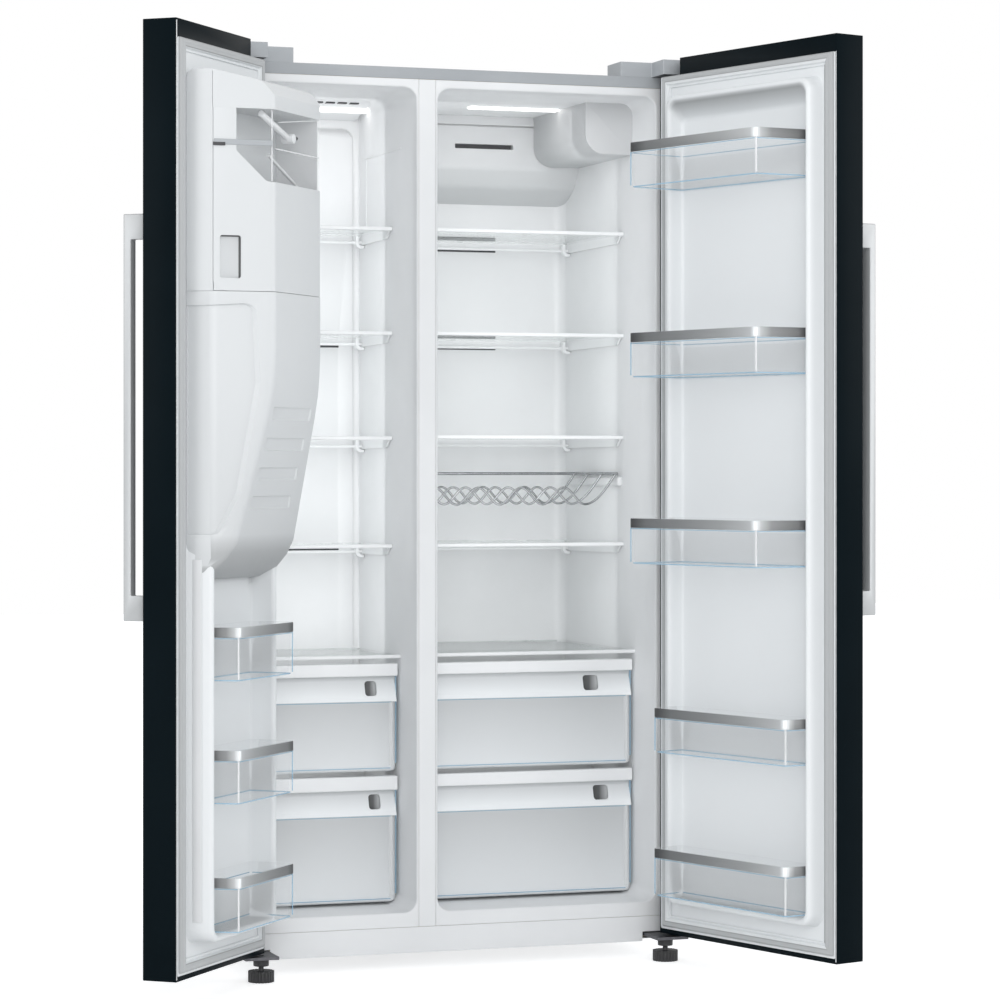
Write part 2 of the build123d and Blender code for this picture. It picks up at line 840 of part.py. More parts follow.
# Evaporator cover: the freezer's back wall, with air slots and a boss for the fan's shaft
fan_x = (freezer_left + freezer_right) / 2
with BuildPart() as evaporator_cover:
    cover_low = hump_top
    cover_high = ceiling_z - cover_side_gap
    with BuildSketch(facing_front(evaporator_y)):
        with Locations((fan_x, (cover_low + cover_high) / 2)):
            RectangleRounded(
                freezer_right - freezer_left - 2 * cover_side_gap, cover_high - cover_low, corner_radius
            )
        for slot_z in cover_slots:
            with Locations((fan_x + cover_slot_shift, slot_z)):
                SlotOverall(cover_slot_length, cover_slot_height, mode=Mode.SUBTRACT)
    extrude(amount=-evaporator_wall)
    boss_y = evaporator_y + evaporator_wall + fan_boss_length / 2
    rod(fan_x, boss_y, fan_height, fan_boss_radius, fan_boss_length, (90, 0, 0))
    bore_y = boss_y + fan_boss_length / 3
    rod(fan_x, bore_y, fan_height, fan_shaft + running_fit, fan_boss_length, (90, 0, 0), Mode.SUBTRACT)
save(evaporator_cover.part, "evaporator_cover")

# Evaporator fan: hub, pitched blades and a shaft that runs in the boss
with BuildPart() as evaporator_fan:
    boss_end = evaporator_y + evaporator_wall + fan_boss_length
    hub_y = boss_end + fan_hub_gap
    rod(fan_x, hub_y, fan_height, fan_hub_radius, fan_hub_length, (90, 0, 0))
    rod(fan_x, boss_end, fan_height, fan_shaft, fan_shaft_length, (90, 0, 0))
    blade_plane = Plane(origin=(fan_x, hub_y, fan_height), x_dir=(1, 0, 0), z_dir=(0, -1, 0))
    with Locations(blade_plane):
        with PolarLocations(0, fan_blades):
            with Locations(Location(((fan_radius + fan_blade_root) / 2, 0, 0), (fan_blade_pitch, 0, 0))):
                Box(fan_radius - fan_blade_root, fan_blade_width, fan_blade_wall)
save(evaporator_fan.part, "evaporator_fan")

# Evaporator coil: a pack of fins on tubes, standing behind the cover
with BuildPart() as evaporator_coil:
    coil_y = evaporator_y + evaporator_wall + coil_gap
    coil_x = fan_x
    coil_half = (freezer_right - freezer_left) / 2
    fin_pitch = 2 * (coil_half - coil_end) / (coil_fins - 1)
    fin_z = (coil_low + coil_high) / 2
    with Locations((coil_x, coil_y + coil_depth / 2, fin_z)):
        with GridLocations(fin_pitch, 1, coil_fins, 1):
            Box(coil_fin, coil_depth, coil_high - coil_low)
    for row in range(coil_rows):
        for column in range(2):
            tube_y = coil_y + coil_depth * (0.28 + 0.44 * column)
            tube_z = coil_low + (coil_high - coil_low) * (row + 0.5) / coil_rows
            rod(coil_x, tube_y, tube_z, coil_tube, 2 * coil_half, (0, 90, 0))
save(evaporator_coil.part, "evaporator_coil")

# Fridge air duct: a bulging housing across the top of the back wall, with an outlet slot
with BuildPart() as fridge_air_duct:
    duct_right = fridge_right - seam
    duct_back = compartment_back - seam
    duct_front = compartment_back - duct_reach
    duct_top = ceiling_z - seam
    duct_left = fridge_left + corner_radius
    with BuildSketch(facing_side(duct_left)):
        with BuildLine():
            Polyline(
                (duct_back, duct_top), (duct_front, duct_top), (duct_front, duct_shoulder),
            )
            SagittaArc((duct_front, duct_shoulder), (duct_back, duct_low), -duct_belly)
            Line((duct_back, duct_low), (duct_back, duct_top))
        make_face()
    extrude(amount=duct_right - duct_left)
    top_edges = fridge_air_duct.edges().filter_by(Axis.Y).group_by(Axis.Z)[-1]
    fillet(top_edges.sort_by(Axis.X)[-1], radius=corner_radius)
    fillet(fridge_air_duct.edges().filter_by(Axis.Z).group_by(Axis.Y)[0], radius=duct_round)
    slot_x = duct_left + duct_slot_inset + duct_slot_width / 2
    slot_z = duct_shoulder + duct_slot_rise
    slab(
        slot_x - duct_slot_width / 2,
        slot_x + duct_slot_width / 2,
        duct_front,
        duct_front + duct_slot_depth,
        slot_z,
        slot_z + duct_slot_height,
        Mode.SUBTRACT,
    )
save(fridge_air_duct.part, "fridge_air_duct")

# Water filter housing in the fridge's upper right corner, running back to the duct
with BuildPart() as water_filter_housing:
    filter_right = fridge_right - seam
    filter_left = filter_right - filter_width
    filter_top = ceiling_z - seam
    with BuildSketch(facing_front(front_y + filter_front)):
        with BuildLine():
            Polyline(
                (filter_left, filter_top),
                (filter_left, filter_top - filter_height),
                (filter_right, filter_top - filter_height),
                (filter_right, filter_top - corner_radius),
                (filter_right - corner_radius, filter_top),
                close=True,
            )
        filter_face = make_face()
        low_corner = (filter_left, filter_top - filter_height)
        fillet(filter_face.vertices().sort_by_distance(low_corner)[0], filter_round)
    extrude(amount=front_y + filter_front - duct_front + seam)
save(water_filter_housing.part, "water_filter_housing")

# Ceiling lights, one lens in each compartment
with BuildPart() as compartment_lights:
    freezer_light_right = freezer_right - corner_radius - freezer_light_gap
    for right_end, length, near, drop in (
        (freezer_light_right, freezer_light_length, freezer_light_front, freezer_light_drop),
        (filter_left - light_gap, fridge_light_length, fridge_light_front, fridge_light_drop),
    ):
        light_y = front_y + near + light_width / 2
        with BuildSketch(Plane.XY.offset(ceiling_z - drop)):
            with Locations((right_end - length / 2, light_y)):
                RectangleRounded(length, light_width, light_round)
        extrude(amount=drop)
save(compartment_lights.part, "compartment_lights")

# Bottle rack: two wavy wires joined by end rods, under a straight rail between two end blocks
rack_left = fridge_left + seam
rack_right = fridge_right - seam
rack_span = rack_right - rack_left - 2 * rack_hang
rack_step = rack_span / (2 * rack_waves)
rack_y = front_y + rack_front
rail_z = rack_z + rack_rail_rise
with BuildPart() as bottle_rack:
    for wire_y in (rack_y, rack_y + rack_spacing):
        with BuildLine() as wave:
            x = rack_left + rack_hang
            for half in range(2 * rack_waves):
                rise = rack_wave_height if half % 2 else -rack_wave_height
                crest = (x + rack_step / 2, wire_y, rack_z + rise)
                ThreePointArc((x, wire_y, rack_z), crest, (x + rack_step, wire_y, rack_z))
                x = x + rack_step
        start = wave.line @ 0
        with BuildSketch(Plane(origin=start, z_dir=wave.line % 0)):
            Circle(rack_wire)
        sweep(path=wave.line, transition=Transition.RIGHT)
    for end_x in (rack_left + rack_hang, rack_right - rack_hang):
        rod(end_x, rack_y + rack_spacing / 2, rack_z, rack_rod, rack_spacing + 4 * rack_wire, (90, 0, 0))
    for end_x in (rack_left + rack_hang / 2, rack_right - rack_hang / 2):
        slab(
            end_x - rack_hang / 2,
            end_x + rack_hang / 2,
            rack_y - rack_end,
            rack_y + rack_spacing + rack_end,
            rack_z - rack_block / 2,
            rail_z + rack_block / 2,
        )
    rail_x = (rack_left + rack_right) / 2
    rod(rail_x, rack_y + rack_spacing, rail_z, rack_rod, rack_span + rack_hang, (0, 90, 0))
save(bottle_rack.part, "bottle_rack")

# Compressor on the base plate
with BuildPart() as compressor:
    compressor_y = back_y - compressor_back
    slab(
        compressor_x - compressor_radius,
        compressor_x + compressor_radius,
        compressor_y - compressor_radius / 2,
        compressor_y + compressor_radius / 2,
        base_top,
        base_top + compressor_foot,
    )
    with BuildSketch(Plane.XY.offset(base_top + compressor_foot)):
        with Locations((compressor_x, compressor_y)):
            Ellipse(compressor_radius, compressor_radius * compressor_flat)
    extrude(amount=compressor_height - compressor_foot)
    fillet(compressor.edges().group_by(Axis.Z)[-1], radius=compressor_round)
save(compressor.part, "compressor")

# Condenser: a finned serpentine beside the compressor
with BuildPart() as condenser_coil:
    condenser_y = (machine_front + back_y) / 2
    condenser_x0 = valve_x + valve_block + condenser_gap
    fin_step = condenser_length / (condenser_fins - 1)
    fin_top = machine_top - condenser_head
    with Locations((condenser_x0 + condenser_length / 2, condenser_y, (base_top + fin_top) / 2)):
        with GridLocations(fin_step, 1, condenser_fins, 1):
            Box(condenser_fin, condenser_depth, fin_top - base_top)
    for row in range(condenser_passes):
        tube_z = base_top + (fin_top - base_top) * (row + 0.5) / condenser_passes
        for tube_y in (condenser_y - condenser_spread, condenser_y + condenser_spread):
            mid_x = condenser_x0 + condenser_length / 2
            rod(mid_x, tube_y, tube_z, condenser_tube, condenser_length + 2 * condenser_end, (0, 90, 0))
save(condenser_coil.part, "condenser_coil")

# Water inlet valve, whose threaded stub comes out of the back panel
with BuildPart() as water_valve:
    valve_front = back_y - sheet - valve_depth
    slab(
        valve_x - valve_block / 2,
        valve_x + valve_block / 2,
        valve_front,
        back_y - sheet,
        valve_z - valve_block / 2,
        valve_z + valve_block / 2,
    )
    slab(
        valve_x - valve_block / 2,
        valve_x + valve_block / 2,
        valve_front,
        valve_front + valve_bracket,
        base_top,
        valve_z,
    )
    stub_length = valve_stub + sheet
    rod(valve_x, back_y - sheet + stub_length / 2, valve_z, valve_radius, stub_length, (90, 0, 0))
    rod(valve_x, back_y, valve_z, valve_bore, valve_depth + 2 * valve_bore, (90, 0, 0), Mode.SUBTRACT)
save(water_valve.part, "water_valve")


def on_door(frame, plane):
    """A plane given in a door's own frame, moved to where the door stands."""
    return Plane(frame.location * plane.location)


def plan_plane(frame, z):
    """A level sketch plane on a door: across it, and out of its inner face."""
    return on_door(frame, Plane(origin=(0, inner_face, z), x_dir=(1, 0, 0), z_dir=(0, 0, 1)))


def profile_plane(frame, side, along):
    """An upright sketch plane on a door, drawn out of its inner face and in height."""
    origin = (door_x(side, along), inner_face, 0)
    return on_door(frame, Plane(origin=origin, x_dir=(0, 1, 0), z_dir=(1, 0, 0)))


def door_shell(side, frame, width, cutout):
    """A steel pan: outer skin, edges and an inner rim, notched at the top hinge and bored for both pins."""
    skin = door_sheet
    outer = -door_thickness
    axis_out = -inner_face
    with BuildPart(frame) as shell:
        with BuildSketch(plan_plane(frame, door_bottom)):
            with BuildLine():
                Polyline(
                    (door_x(side, 0), 0),
                    (door_x(side, 0), outer),
                    (door_x(side, width), outer),
                    (door_x(side, width), 0),
                    close=True,
                )
            pan = make_face()
            fillet(pan.vertices().group_by(Axis.Y)[0], door_edge_radius)
        extrude(amount=door_top - door_bottom)
        low, high = door_bottom + skin, notch_z - skin
        door_slab(side, skin, width - skin, outer + door_edge_radius, -skin, low, high, Mode.SUBTRACT)
        past_notch = notch_width + skin
        free = width - skin
        door_slab(
            side, past_notch, free, outer + door_edge_radius, -skin, low, door_top - skin, Mode.SUBTRACT
        )
        inset = skin + door_edge_radius
        door_slab(side, inset, width - inset, outer + skin, -skin, low, high, Mode.SUBTRACT)
        door_slab(side, 0, notch_width, outer, 0, notch_z, door_top, Mode.SUBTRACT)
        rim = gasket_hinge_side + door_rim_lap
        rim_low, rim_high = gasket_bottom + door_rim_end, notch_z - door_rim_end
        door_slab(side, rim, width - rim, -skin, 0, rim_low, rim_high, Mode.SUBTRACT)
        block_height = pin_length + pin_block_cap
        for z0, z1 in ((door_bottom, door_bottom + block_height), (notch_z - block_height, notch_z)):
            door_slab(side, 0, pin_block, axis_out - pin_block_half, axis_out + pin_block_half, z0, z1)
        bore = pin_radius + running_fit
        rod(0, 0, door_bottom, bore, 2 * (pin_length + 1), mode=Mode.SUBTRACT)
        rod(0, 0, notch_z, bore, 2 * (pin_length + 1), mode=Mode.SUBTRACT)
        if cutout:
            c0, c1, z0, z1 = cutout
            door_slab(side, c0, c1, outer, outer + door_edge_radius, z0, z1, Mode.SUBTRACT)
    return shell.part


def door_gasket(side, frame, width):
    """A stepped rubber ring that seals against the cabinet's front rim."""
    first, last = gasket_hinge_side, width - gasket_edge
    base_height = door_liner_wall + gasket_base
    step = gasket_width / 4
    with BuildPart(frame) as gasket:
        door_slab(side, first, last, door_liner_wall, base_height, gasket_bottom, gasket_top)
        ridge_low, ridge_top = gasket_bottom + step, gasket_top - step
        door_slab(side, first + step, last - step, base_height, gasket_height, ridge_low, ridge_top)
        door_slab(
            side,
            first + gasket_width - step,
            last - gasket_width + step,
            base_height,
            gasket_height,
            gasket_bottom + gasket_width - step,
            gasket_top - gasket_width + step,
            Mode.SUBTRACT,
        )
        door_slab(
            side,
            first + gasket_width,
            last - gasket_width,
            door_liner_wall,
            base_height,
            gasket_bottom + gasket_width,
            gasket_top - gasket_width,
            Mode.SUBTRACT,
        )
    return gasket.part


def door_handle(side, frame, width):
    """A flat bar on two end posts."""
    middle = width - handle_edge
    s0, s1 = middle - handle_width / 2, middle + handle_width / 2
    grip = -door_thickness - handle_standoff
    with BuildPart(frame) as handle:
        door_slab(side, s0, s1, grip - handle_thickness, grip, handle_low, handle_high)
        door_slab(side, s0, s1, grip, -door_thickness, handle_low, handle_low + handle_post)
        door_slab(side, s0, s1, grip, -door_thickness, handle_high - handle_post, handle_high)
        front = handle.edges().filter_by(Axis.Z).group_by(SortBy.LENGTH)[-1]
        fillet(front, radius=handle_round)
    return handle.part


def bin_lugs(side, s0, s1, floors):
    """Lugs on the inner faces of the dykes that carry the door bins."""
    for floor in floors:
        door_slab(side, s0, s0 + bin_lug, door_liner_wall, bin_lug_reach, floor - bin_lug, floor)
        door_slab(side, s1 - bin_lug, s1, door_liner_wall, bin_lug_reach, floor - bin_lug, floor)


def door_bin(side, frame, s0, s1, reach, floor, top):
    """A clear open box, narrower at its front on the hinge side, with a steel trim bent round its front."""
    back = door_liner_wall + bin_back_gap
    first, last = s0 + bin_end_gap, s1 - bin_end_gap

    def outline(grow):
        with BuildSketch(plan_plane(frame, floor), mode=Mode.PRIVATE) as plan:
            with BuildLine():
                Polyline(
                    (door_x(side, first), back),
                    (door_x(side, last), back),
                    (door_x(side, last - bin_free_taper), reach),
                    (door_x(side, first + bin_taper), reach),
                    close=True,
                )
            face = make_face()
            fillet(face.vertices().group_by(Axis.Y)[-1], bin_round)
            if grow:
                offset(amount=grow, kind=Kind.INTERSECTION)
        return plan.sketch

    with BuildPart(frame) as door_bin_part:
        extrude(outline(0), amount=top - floor)
        hollow = outline(-bin_wall)
        extrude(hollow.moved(Location((0, 0, bin_wall))), amount=top - floor, mode=Mode.SUBTRACT)
        door_slab(side, first, last, back, back + bin_wall, top, top + bin_back_rise)
    with BuildPart(frame) as trim:
        trim_low = top - bin_trim_height
        lift = Location((0, 0, trim_low - floor))
        extrude(outline(bin_trim_gap + bin_trim_wall).moved(lift), amount=bin_trim_height - 1)
        extrude(outline(bin_trim_gap).moved(lift), amount=bin_trim_height - 1, mode=Mode.SUBTRACT)
        trim_end = last + bin_round
        door_slab(side, 0, trim_end, 0, bin_trim_start, trim_low - bin_wall, top + bin_wall, Mode.SUBTRACT)
    return Compound(children=[door_bin_part.part.solid(), trim.part.solid()])


# Freezer door
niche_middle = freezer_door_width / 2
niche_left = niche_middle - niche_width / 2
niche_right = niche_middle + niche_width / 2
niche_cut = (niche_left - seam, niche_right + seam, niche_low - seam, niche_high + seam)
save(door_shell(FREEZER, freezer_frame, freezer_door_width, niche_cut), "freezer_door_shell")
save(door_gasket(FREEZER, freezer_frame, freezer_door_width), "freezer_door_gasket")
save(door_handle(FREEZER, freezer_frame, freezer_door_width), "freezer_door_handle")

dyke_hinge = hinge_inset + dyke_inset
freezer_dyke_free = freezer_door_width - freezer_dyke_margin
fridge_dyke_free = fridge_door_width - fridge_dyke_margin
with BuildPart(freezer_frame) as freezer_door_liner:
    door_slab(
        FREEZER,
        door_liner_edge,
        freezer_door_width - door_liner_free_edge,
        0,
        door_liner_wall,
        gasket_bottom - door_liner_edge,
        gasket_top,
    )
    d0, d1 = dyke_hinge, freezer_dyke_free
    dyke_stop = chute_low - seam
    door_slab(FREEZER, d0, d0 + dyke_wall, door_liner_wall, freezer_dyke_height, dyke_low, dyke_stop)
    door_slab(FREEZER, d1 - dyke_wall, d1, door_liner_wall, freezer_dyke_height, dyke_low, dyke_stop)
    door_slab(FREEZER, d0, d1, door_liner_wall, freezer_dyke_height, dyke_low, dyke_low + dyke_wall)
    bin_lugs(FREEZER, d0 + dyke_wall, d1 - dyke_wall, [floor for floor, top in freezer_bins])
    cut0, cut1, cut_low, cut_high = niche_cut
    door_slab(FREEZER, cut0, cut1, 0, door_liner_wall, cut_low, cut_high, Mode.SUBTRACT)
save(freezer_door_liner.part, "freezer_door_liner")

for number, (floor, top) in enumerate(freezer_bins, 1):
    freezer_bin = door_bin(
        FREEZER,
        freezer_frame,
        dyke_hinge + dyke_wall,
        freezer_dyke_free - dyke_wall,
        freezer_bin_reach,
        floor,
        top,
    )
    save(freezer_bin, f"freezer_bin_{number}")


def ice_plan(inset, first_out):
    """The plan of the ice system: a box with its free front corner cut off at a slant."""
    near = dyke_hinge + ice_side_gap + inset
    far = freezer_dyke_free - inset
    front = ice_reach - inset
    bend = freezer_dyke_height - inset / 2
    slant_end = far - ice_slant + inset / 2
    points = [(near, first_out)]
    if first_out < bend:
        points += [(far, first_out), (far, bend)]
    else:
        points.append((far - (far - slant_end) * (first_out - bend) / (front - bend), first_out))
    points += [(slant_end, front), (near, front)]
    return [(door_x(FREEZER, along), out) for along, out in points]


def ice_block(inset, first_out, z0, z1, mode=Mode.ADD):
    """An upright block with the plan of the ice system."""
    with BuildSketch(plan_plane(freezer_frame, z0), mode=Mode.PRIVATE) as plan:
        with BuildLine():
            Polyline(*ice_plan(inset, first_out), close=True)
        make_face()
    return extrude(plan.sketch, amount=z1 - z0, mode=mode)


# Ice housing: a back plate, two cheeks and a sloping roof over the bucket
ice_back = door_liner_wall + ice_wall
cheek_front = freezer_dyke_height
roof_low = ice_window_top + ice_gap
with BuildPart(freezer_frame) as ice_housing:
    ice_block(0, door_liner_wall, roof_low, ice_roof)
    ice_block(ice_wall, ice_back, roof_low, ice_roof - ice_roof_drop, Mode.SUBTRACT)
    near, far = dyke_hinge + ice_side_gap, freezer_dyke_free
    door_slab(
        FREEZER,
        near + ice_wall,
        far - ice_wall,
        ice_back,
        cheek_front - ice_roof_skin,
        roof_low,
        ice_roof - ice_roof_skin,
        Mode.SUBTRACT,
    )
    door_slab(FREEZER, near, far, door_liner_wall, ice_back, ice_seam, roof_low)
    door_slab(FREEZER, near, near + ice_wall, door_liner_wall, cheek_front, ice_seam, roof_low)
    door_slab(FREEZER, far - ice_wall, far, door_liner_wall, cheek_front, ice_seam, roof_low)
    with BuildSketch(profile_plane(freezer_frame, FREEZER, near - 1), mode=Mode.PRIVATE) as slope:
        with BuildLine():
            Polyline(
                (cheek_front, ice_roof + 1),
                (ice_reach + 1, ice_roof + 1),
                (ice_reach + 1, ice_roof - ice_roof_drop + ice_wall + 2),
                (cheek_front, ice_roof),
                close=True,
            )
        make_face()
    extrude(slope.sketch, amount=far - near + 2, mode=Mode.SUBTRACT)
save(ice_housing.part, "ice_housing")

# Ice bucket: a removable tub with a clear upper front, lifted out towards the cabinet side
with BuildPart(freezer_frame) as ice_bucket:
    bucket_low = ice_seam + ice_gap
    rear_first = near + ice_wall + ice_gap
    rear_last = far - ice_wall - ice_gap
    rear_out = ice_back + ice_gap
    lap = cheek_front + ice_gap
    window_seam = ice_window_low
    ice_block(0, lap, bucket_low, window_seam)
    door_slab(FREEZER, rear_first, rear_last, rear_out, lap, bucket_low, ice_window_top)
    ice_block(ice_wall, lap - ice_wall, bucket_low + ice_wall, window_seam, Mode.SUBTRACT)
    door_slab(
        FREEZER,
        rear_first + ice_wall,
        rear_last - ice_wall,
        rear_out + ice_wall,
        lap,
        bucket_low + ice_wall,
        ice_window_top,
        Mode.SUBTRACT,
    )
    web = rear_last - auger_web_inset
    web_top = auger_height + auger_web_rise
    shaft_out = (ice_reach + ice_outlet_near) / 2
    door_slab(FREEZER, web, web + ice_wall, rear_out, ice_reach - ice_wall, bucket_low, web_top)
    shaft_x = door_x(FREEZER, (near + web) / 2)
    bore = auger_shaft + running_fit
    bore_length = web - near + auger_vane_inset
    rod(shaft_x, inner_face + shaft_out, auger_height, bore, bore_length, (0, 90, 0), Mode.SUBTRACT)
    outlet = niche_middle
    door_slab(
        FREEZER,
        outlet - ice_outlet_half,
        outlet + ice_outlet_half,
        ice_outlet_near,
        ice_outlet_far,
        bucket_low,
        bucket_low + ice_wall,
        Mode.SUBTRACT,
    )
with BuildPart(freezer_frame) as ice_window:
    ice_block(0, lap, window_seam + bin_trim_gap, ice_window_top)
    ice_block(ice_wall, lap - ice_wall, window_seam, ice_window_top, Mode.SUBTRACT)
ice_bucket_pair = Compound(children=[ice_bucket.part.solid(), ice_window.part.solid()])
save(ice_bucket_pair, "ice_bucket")

# Ice auger: a shaft with crossed vanes that turns in the bucket
with BuildPart(freezer_frame) as ice_auger:
    shaft_length = web + ice_wall - near
    shaft_middle = door_x(FREEZER, near + shaft_length / 2)
    rod(shaft_middle, inner_face + shaft_out, auger_height, auger_shaft, shaft_length, (0, 90, 0))
    for vane in range(auger_vanes):
        vane_span = web - near - 2 * auger_vane_inset
        along = near + auger_vane_inset + vane_span * vane / (auger_vanes - 1)
        vane_place = (door_x(FREEZER, along), inner_face + shaft_out, auger_height)
        with Locations(Location(vane_place, (auger_vane_turn * vane, 0, 0))):
            Box(auger_vane_width, 2 * auger_radius, auger_vane_depth)
save(ice_auger.part, "ice_auger")


def chute_form(inset, first_out, low, high):
    """The belly below the ice bucket, rounded away to the door at its foot."""
    near = dyke_hinge + ice_side_gap + inset
    far = freezer_dyke_free - inset
    front = ice_reach - inset
    with BuildSketch(profile_plane(freezer_frame, FREEZER, near), mode=Mode.PRIVATE) as profile:
        with BuildLine():
            Polyline(
                (first_out, high),
                (front, high),
                (front, chute_knee),
                (chute_heel_reach - inset, chute_heel),
                (chute_toe_reach - inset, low),
                (first_out, low),
                close=True,
            )
        belly = make_face()
        corners = belly.vertices()
        fillet(corners.sort_by_distance((front, chute_knee))[0], chute_round)
    with BuildSketch(plan_plane(freezer_frame, low - 1), mode=Mode.PRIVATE) as plan:
        with BuildLine():
            Polyline(*ice_plan(inset, first_out), close=True)
        make_face()
    shape = extrude(profile.sketch, amount=far - near, mode=Mode.PRIVATE)
    return shape & extrude(plan.sketch, amount=high - low + 2, mode=Mode.PRIVATE)


chute_top = ice_seam - seam
chute_solid = chute_form(0, door_liner_wall, chute_low, chute_top)
chute_hollow = chute_form(ice_wall, door_liner_wall - 1, chute_low + ice_wall, chute_top - ice_wall)
with BuildPart() as chute_housing:
    add(chute_solid)
    add(chute_hollow, mode=Mode.SUBTRACT)
    with Locations(freezer_frame):
        door_slab(
            FREEZER,
            outlet - ice_duct_half,
            outlet + ice_duct_half,
            ice_duct_near,
            ice_outlet_far + ice_duct_gap,
            chute_top - ice_wall,
            chute_top,
            Mode.SUBTRACT,
        )
save(chute_housing.part, "chute_housing")

# Dispenser niche: a lined recess with a control panel over it and an ice duct through its ceiling
niche_back = niche_depth
niche_out = -door_thickness
with BuildPart(freezer_frame) as dispenser_niche:
    n0, n1 = niche_left, niche_right
    door_slab(FREEZER, n0, n1, niche_out, niche_back, niche_low, niche_high)
    f0, f1 = n0 - niche_frame, n1 + niche_frame
    panel_top = niche_high + panel_height
    door_slab(FREEZER, f0, f1, niche_out - niche_proud, niche_out, niche_low - niche_frame, panel_top)
    door_slab(
        FREEZER,
        n0 + niche_wall,
        n1 - niche_wall,
        niche_out - niche_proud,
        niche_back - niche_wall,
        niche_low + niche_wall,
        niche_high - niche_wall,
        Mode.SUBTRACT,
    )
    niche_ceiling = niche_high - niche_wall
    duct_half = ice_duct_half
    duct_top_z = chute_top - ice_wall - ice_duct_gap
    duct_near, duct_far = ice_duct_near, ice_duct_far
    s0, s1 = outlet - duct_half, outlet + duct_half
    door_slab(FREEZER, s0, s1, duct_near, duct_far, niche_ceiling, duct_top_z)
    wall = ice_duct_wall
    bore_near, bore_far = duct_near + wall, duct_far - wall
    door_slab(
        FREEZER, s0 + wall, s1 - wall, bore_near, bore_far, niche_ceiling, duct_top_z, Mode.SUBTRACT
    )
    flap_z = niche_ceiling - flap_drop
    flap_out = niche_back - flap_back
    flap_ear_low = niche_ceiling - flap_ear_height
    flap_ear = flap_half + pin_ear_gap
    paddle_z = niche_high - paddle_drop
    paddle_out = niche_back - paddle_back
    paddle_ear_out = paddle_out - paddle_ear_front
    paddle_ear_low, paddle_ear_top = paddle_z - paddle_ear_half, paddle_z + paddle_ear_half
    paddle_ear = paddle_width / 2 + paddle_ear_gap
    for ear in (outlet - flap_ear - pin_ear, outlet + flap_ear):
        ear_out = (flap_out - flap_ear_half, flap_out + flap_ear_half)
        door_slab(FREEZER, ear, ear + pin_ear, *ear_out, flap_ear_low, niche_ceiling)
    for ear in (outlet - paddle_ear - pin_ear, outlet + paddle_ear):
        ear_out = (paddle_ear_out, niche_back - niche_wall)
        door_slab(FREEZER, ear, ear + pin_ear, *ear_out, paddle_ear_low, paddle_ear_top)
    pin_x = door_x(FREEZER, outlet)
    flap_pin_length = 2 * (flap_ear + pin_ear)
    paddle_pin_length = 2 * (paddle_ear + pin_ear)
    flap_bore = flap_pin + running_fit
    paddle_bore = paddle_pin + running_fit
    bore_spare = 2 * pin_ear_gap
    across = (0, 90, 0)
    flap_y, paddle_y = inner_face + flap_out, inner_face + paddle_out
    rod(pin_x, flap_y, flap_z, flap_bore, flap_pin_length + bore_spare, across, Mode.SUBTRACT)
    rod(pin_x, paddle_y, paddle_z, paddle_bore, paddle_pin_length + bore_spare, across, Mode.SUBTRACT)
save(dispenser_niche.part, "dispenser_niche")

# Dispenser paddle on its pin, and the flap that opens the ice duct
with BuildPart(freezer_frame) as dispenser_paddle:
    half = paddle_width / 2
    thick = paddle_thickness / 2
    paddle_low = paddle_z - paddle_height
    door_slab(
        FREEZER, outlet - half, outlet + half, paddle_out - thick, paddle_out + thick, paddle_low, paddle_z
    )
    rod(pin_x, inner_face + paddle_out, paddle_z, paddle_pin, paddle_pin_length, (0, 90, 0))
save(dispenser_paddle.part, "dispenser_paddle")
with BuildPart(freezer_frame) as ice_flap:
    flap_half_wall = flap_thickness / 2
    flap_low, flap_top = flap_z - flap_half_wall, flap_z + flap_half_wall
    door_slab(FREEZER, outlet - flap_half, outlet + flap_half, flap_near, flap_out, flap_low, flap_top)
    rod(pin_x, inner_face + flap_out, flap_z, flap_pin, flap_pin_length, (0, 90, 0))
save(ice_flap.part, "ice_flap")

# Fridge door
save(door_shell(FRIDGE, fridge_frame, fridge_door_width, None), "fridge_door_shell")
save(door_gasket(FRIDGE, fridge_frame, fridge_door_width), "fridge_door_gasket")
save(door_handle(FRIDGE, fridge_frame, fridge_door_width), "fridge_door_handle")

with BuildPart(fridge_frame) as fridge_door_liner:
    door_slab(
        FRIDGE,
        door_liner_edge,
        fridge_door_width - door_liner_free_edge,
        0,
        door_liner_wall,
        gasket_bottom - door_liner_edge,
        gasket_top,
    )
    d0, d1 = dyke_hinge, fridge_dyke_free
    tall = fridge_dyke_height
    door_slab(FRIDGE, d0, d0 + dyke_wall, door_liner_wall, tall, dyke_low, dyke_high)
    door_slab(FRIDGE, d1 - dyke_wall, d1, door_liner_wall, tall, dyke_low, dyke_high)
    door_slab(FRIDGE, d0, d1, door_liner_wall, tall, dyke_low, dyke_low + dyke_wall)
    with BuildSketch(profile_plane(fridge_frame, FRIDGE, d1), mode=Mode.PRIVATE) as cove:
        with BuildLine():
            Polyline(
                (door_liner_wall, dyke_high),
                (tall, dyke_high),
                (tall, dyke_high - dyke_wall),
                (door_liner_wall, dyke_high - dyke_wall - cove_height),
                close=True,
            )
        make_face()
    extrude(cove.sketch, amount=d1 - d0)
    floors = [floor for floor, top in fridge_upper_bins + fridge_lower_bins]
    bin_lugs(FRIDGE, d0 + dyke_wall, d1 - dyke_wall, floors)
save(fridge_door_liner.part, "fridge_door_liner")

fridge_bin_sizes = [(fridge_upper_bin_reach, size) for size in fridge_upper_bins]
fridge_bin_sizes += [(fridge_lower_bin_reach, size) for size in fridge_lower_bins]
for number, (reach, (floor, top)) in enumerate(fridge_bin_sizes, 1):
    fridge_bin = door_bin(
        FRIDGE, fridge_frame, dyke_hinge + dyke_wall, fridge_dyke_free - dyke_wall, reach, floor, top
    )
    save(fridge_bin, f"fridge_bin_{number}")
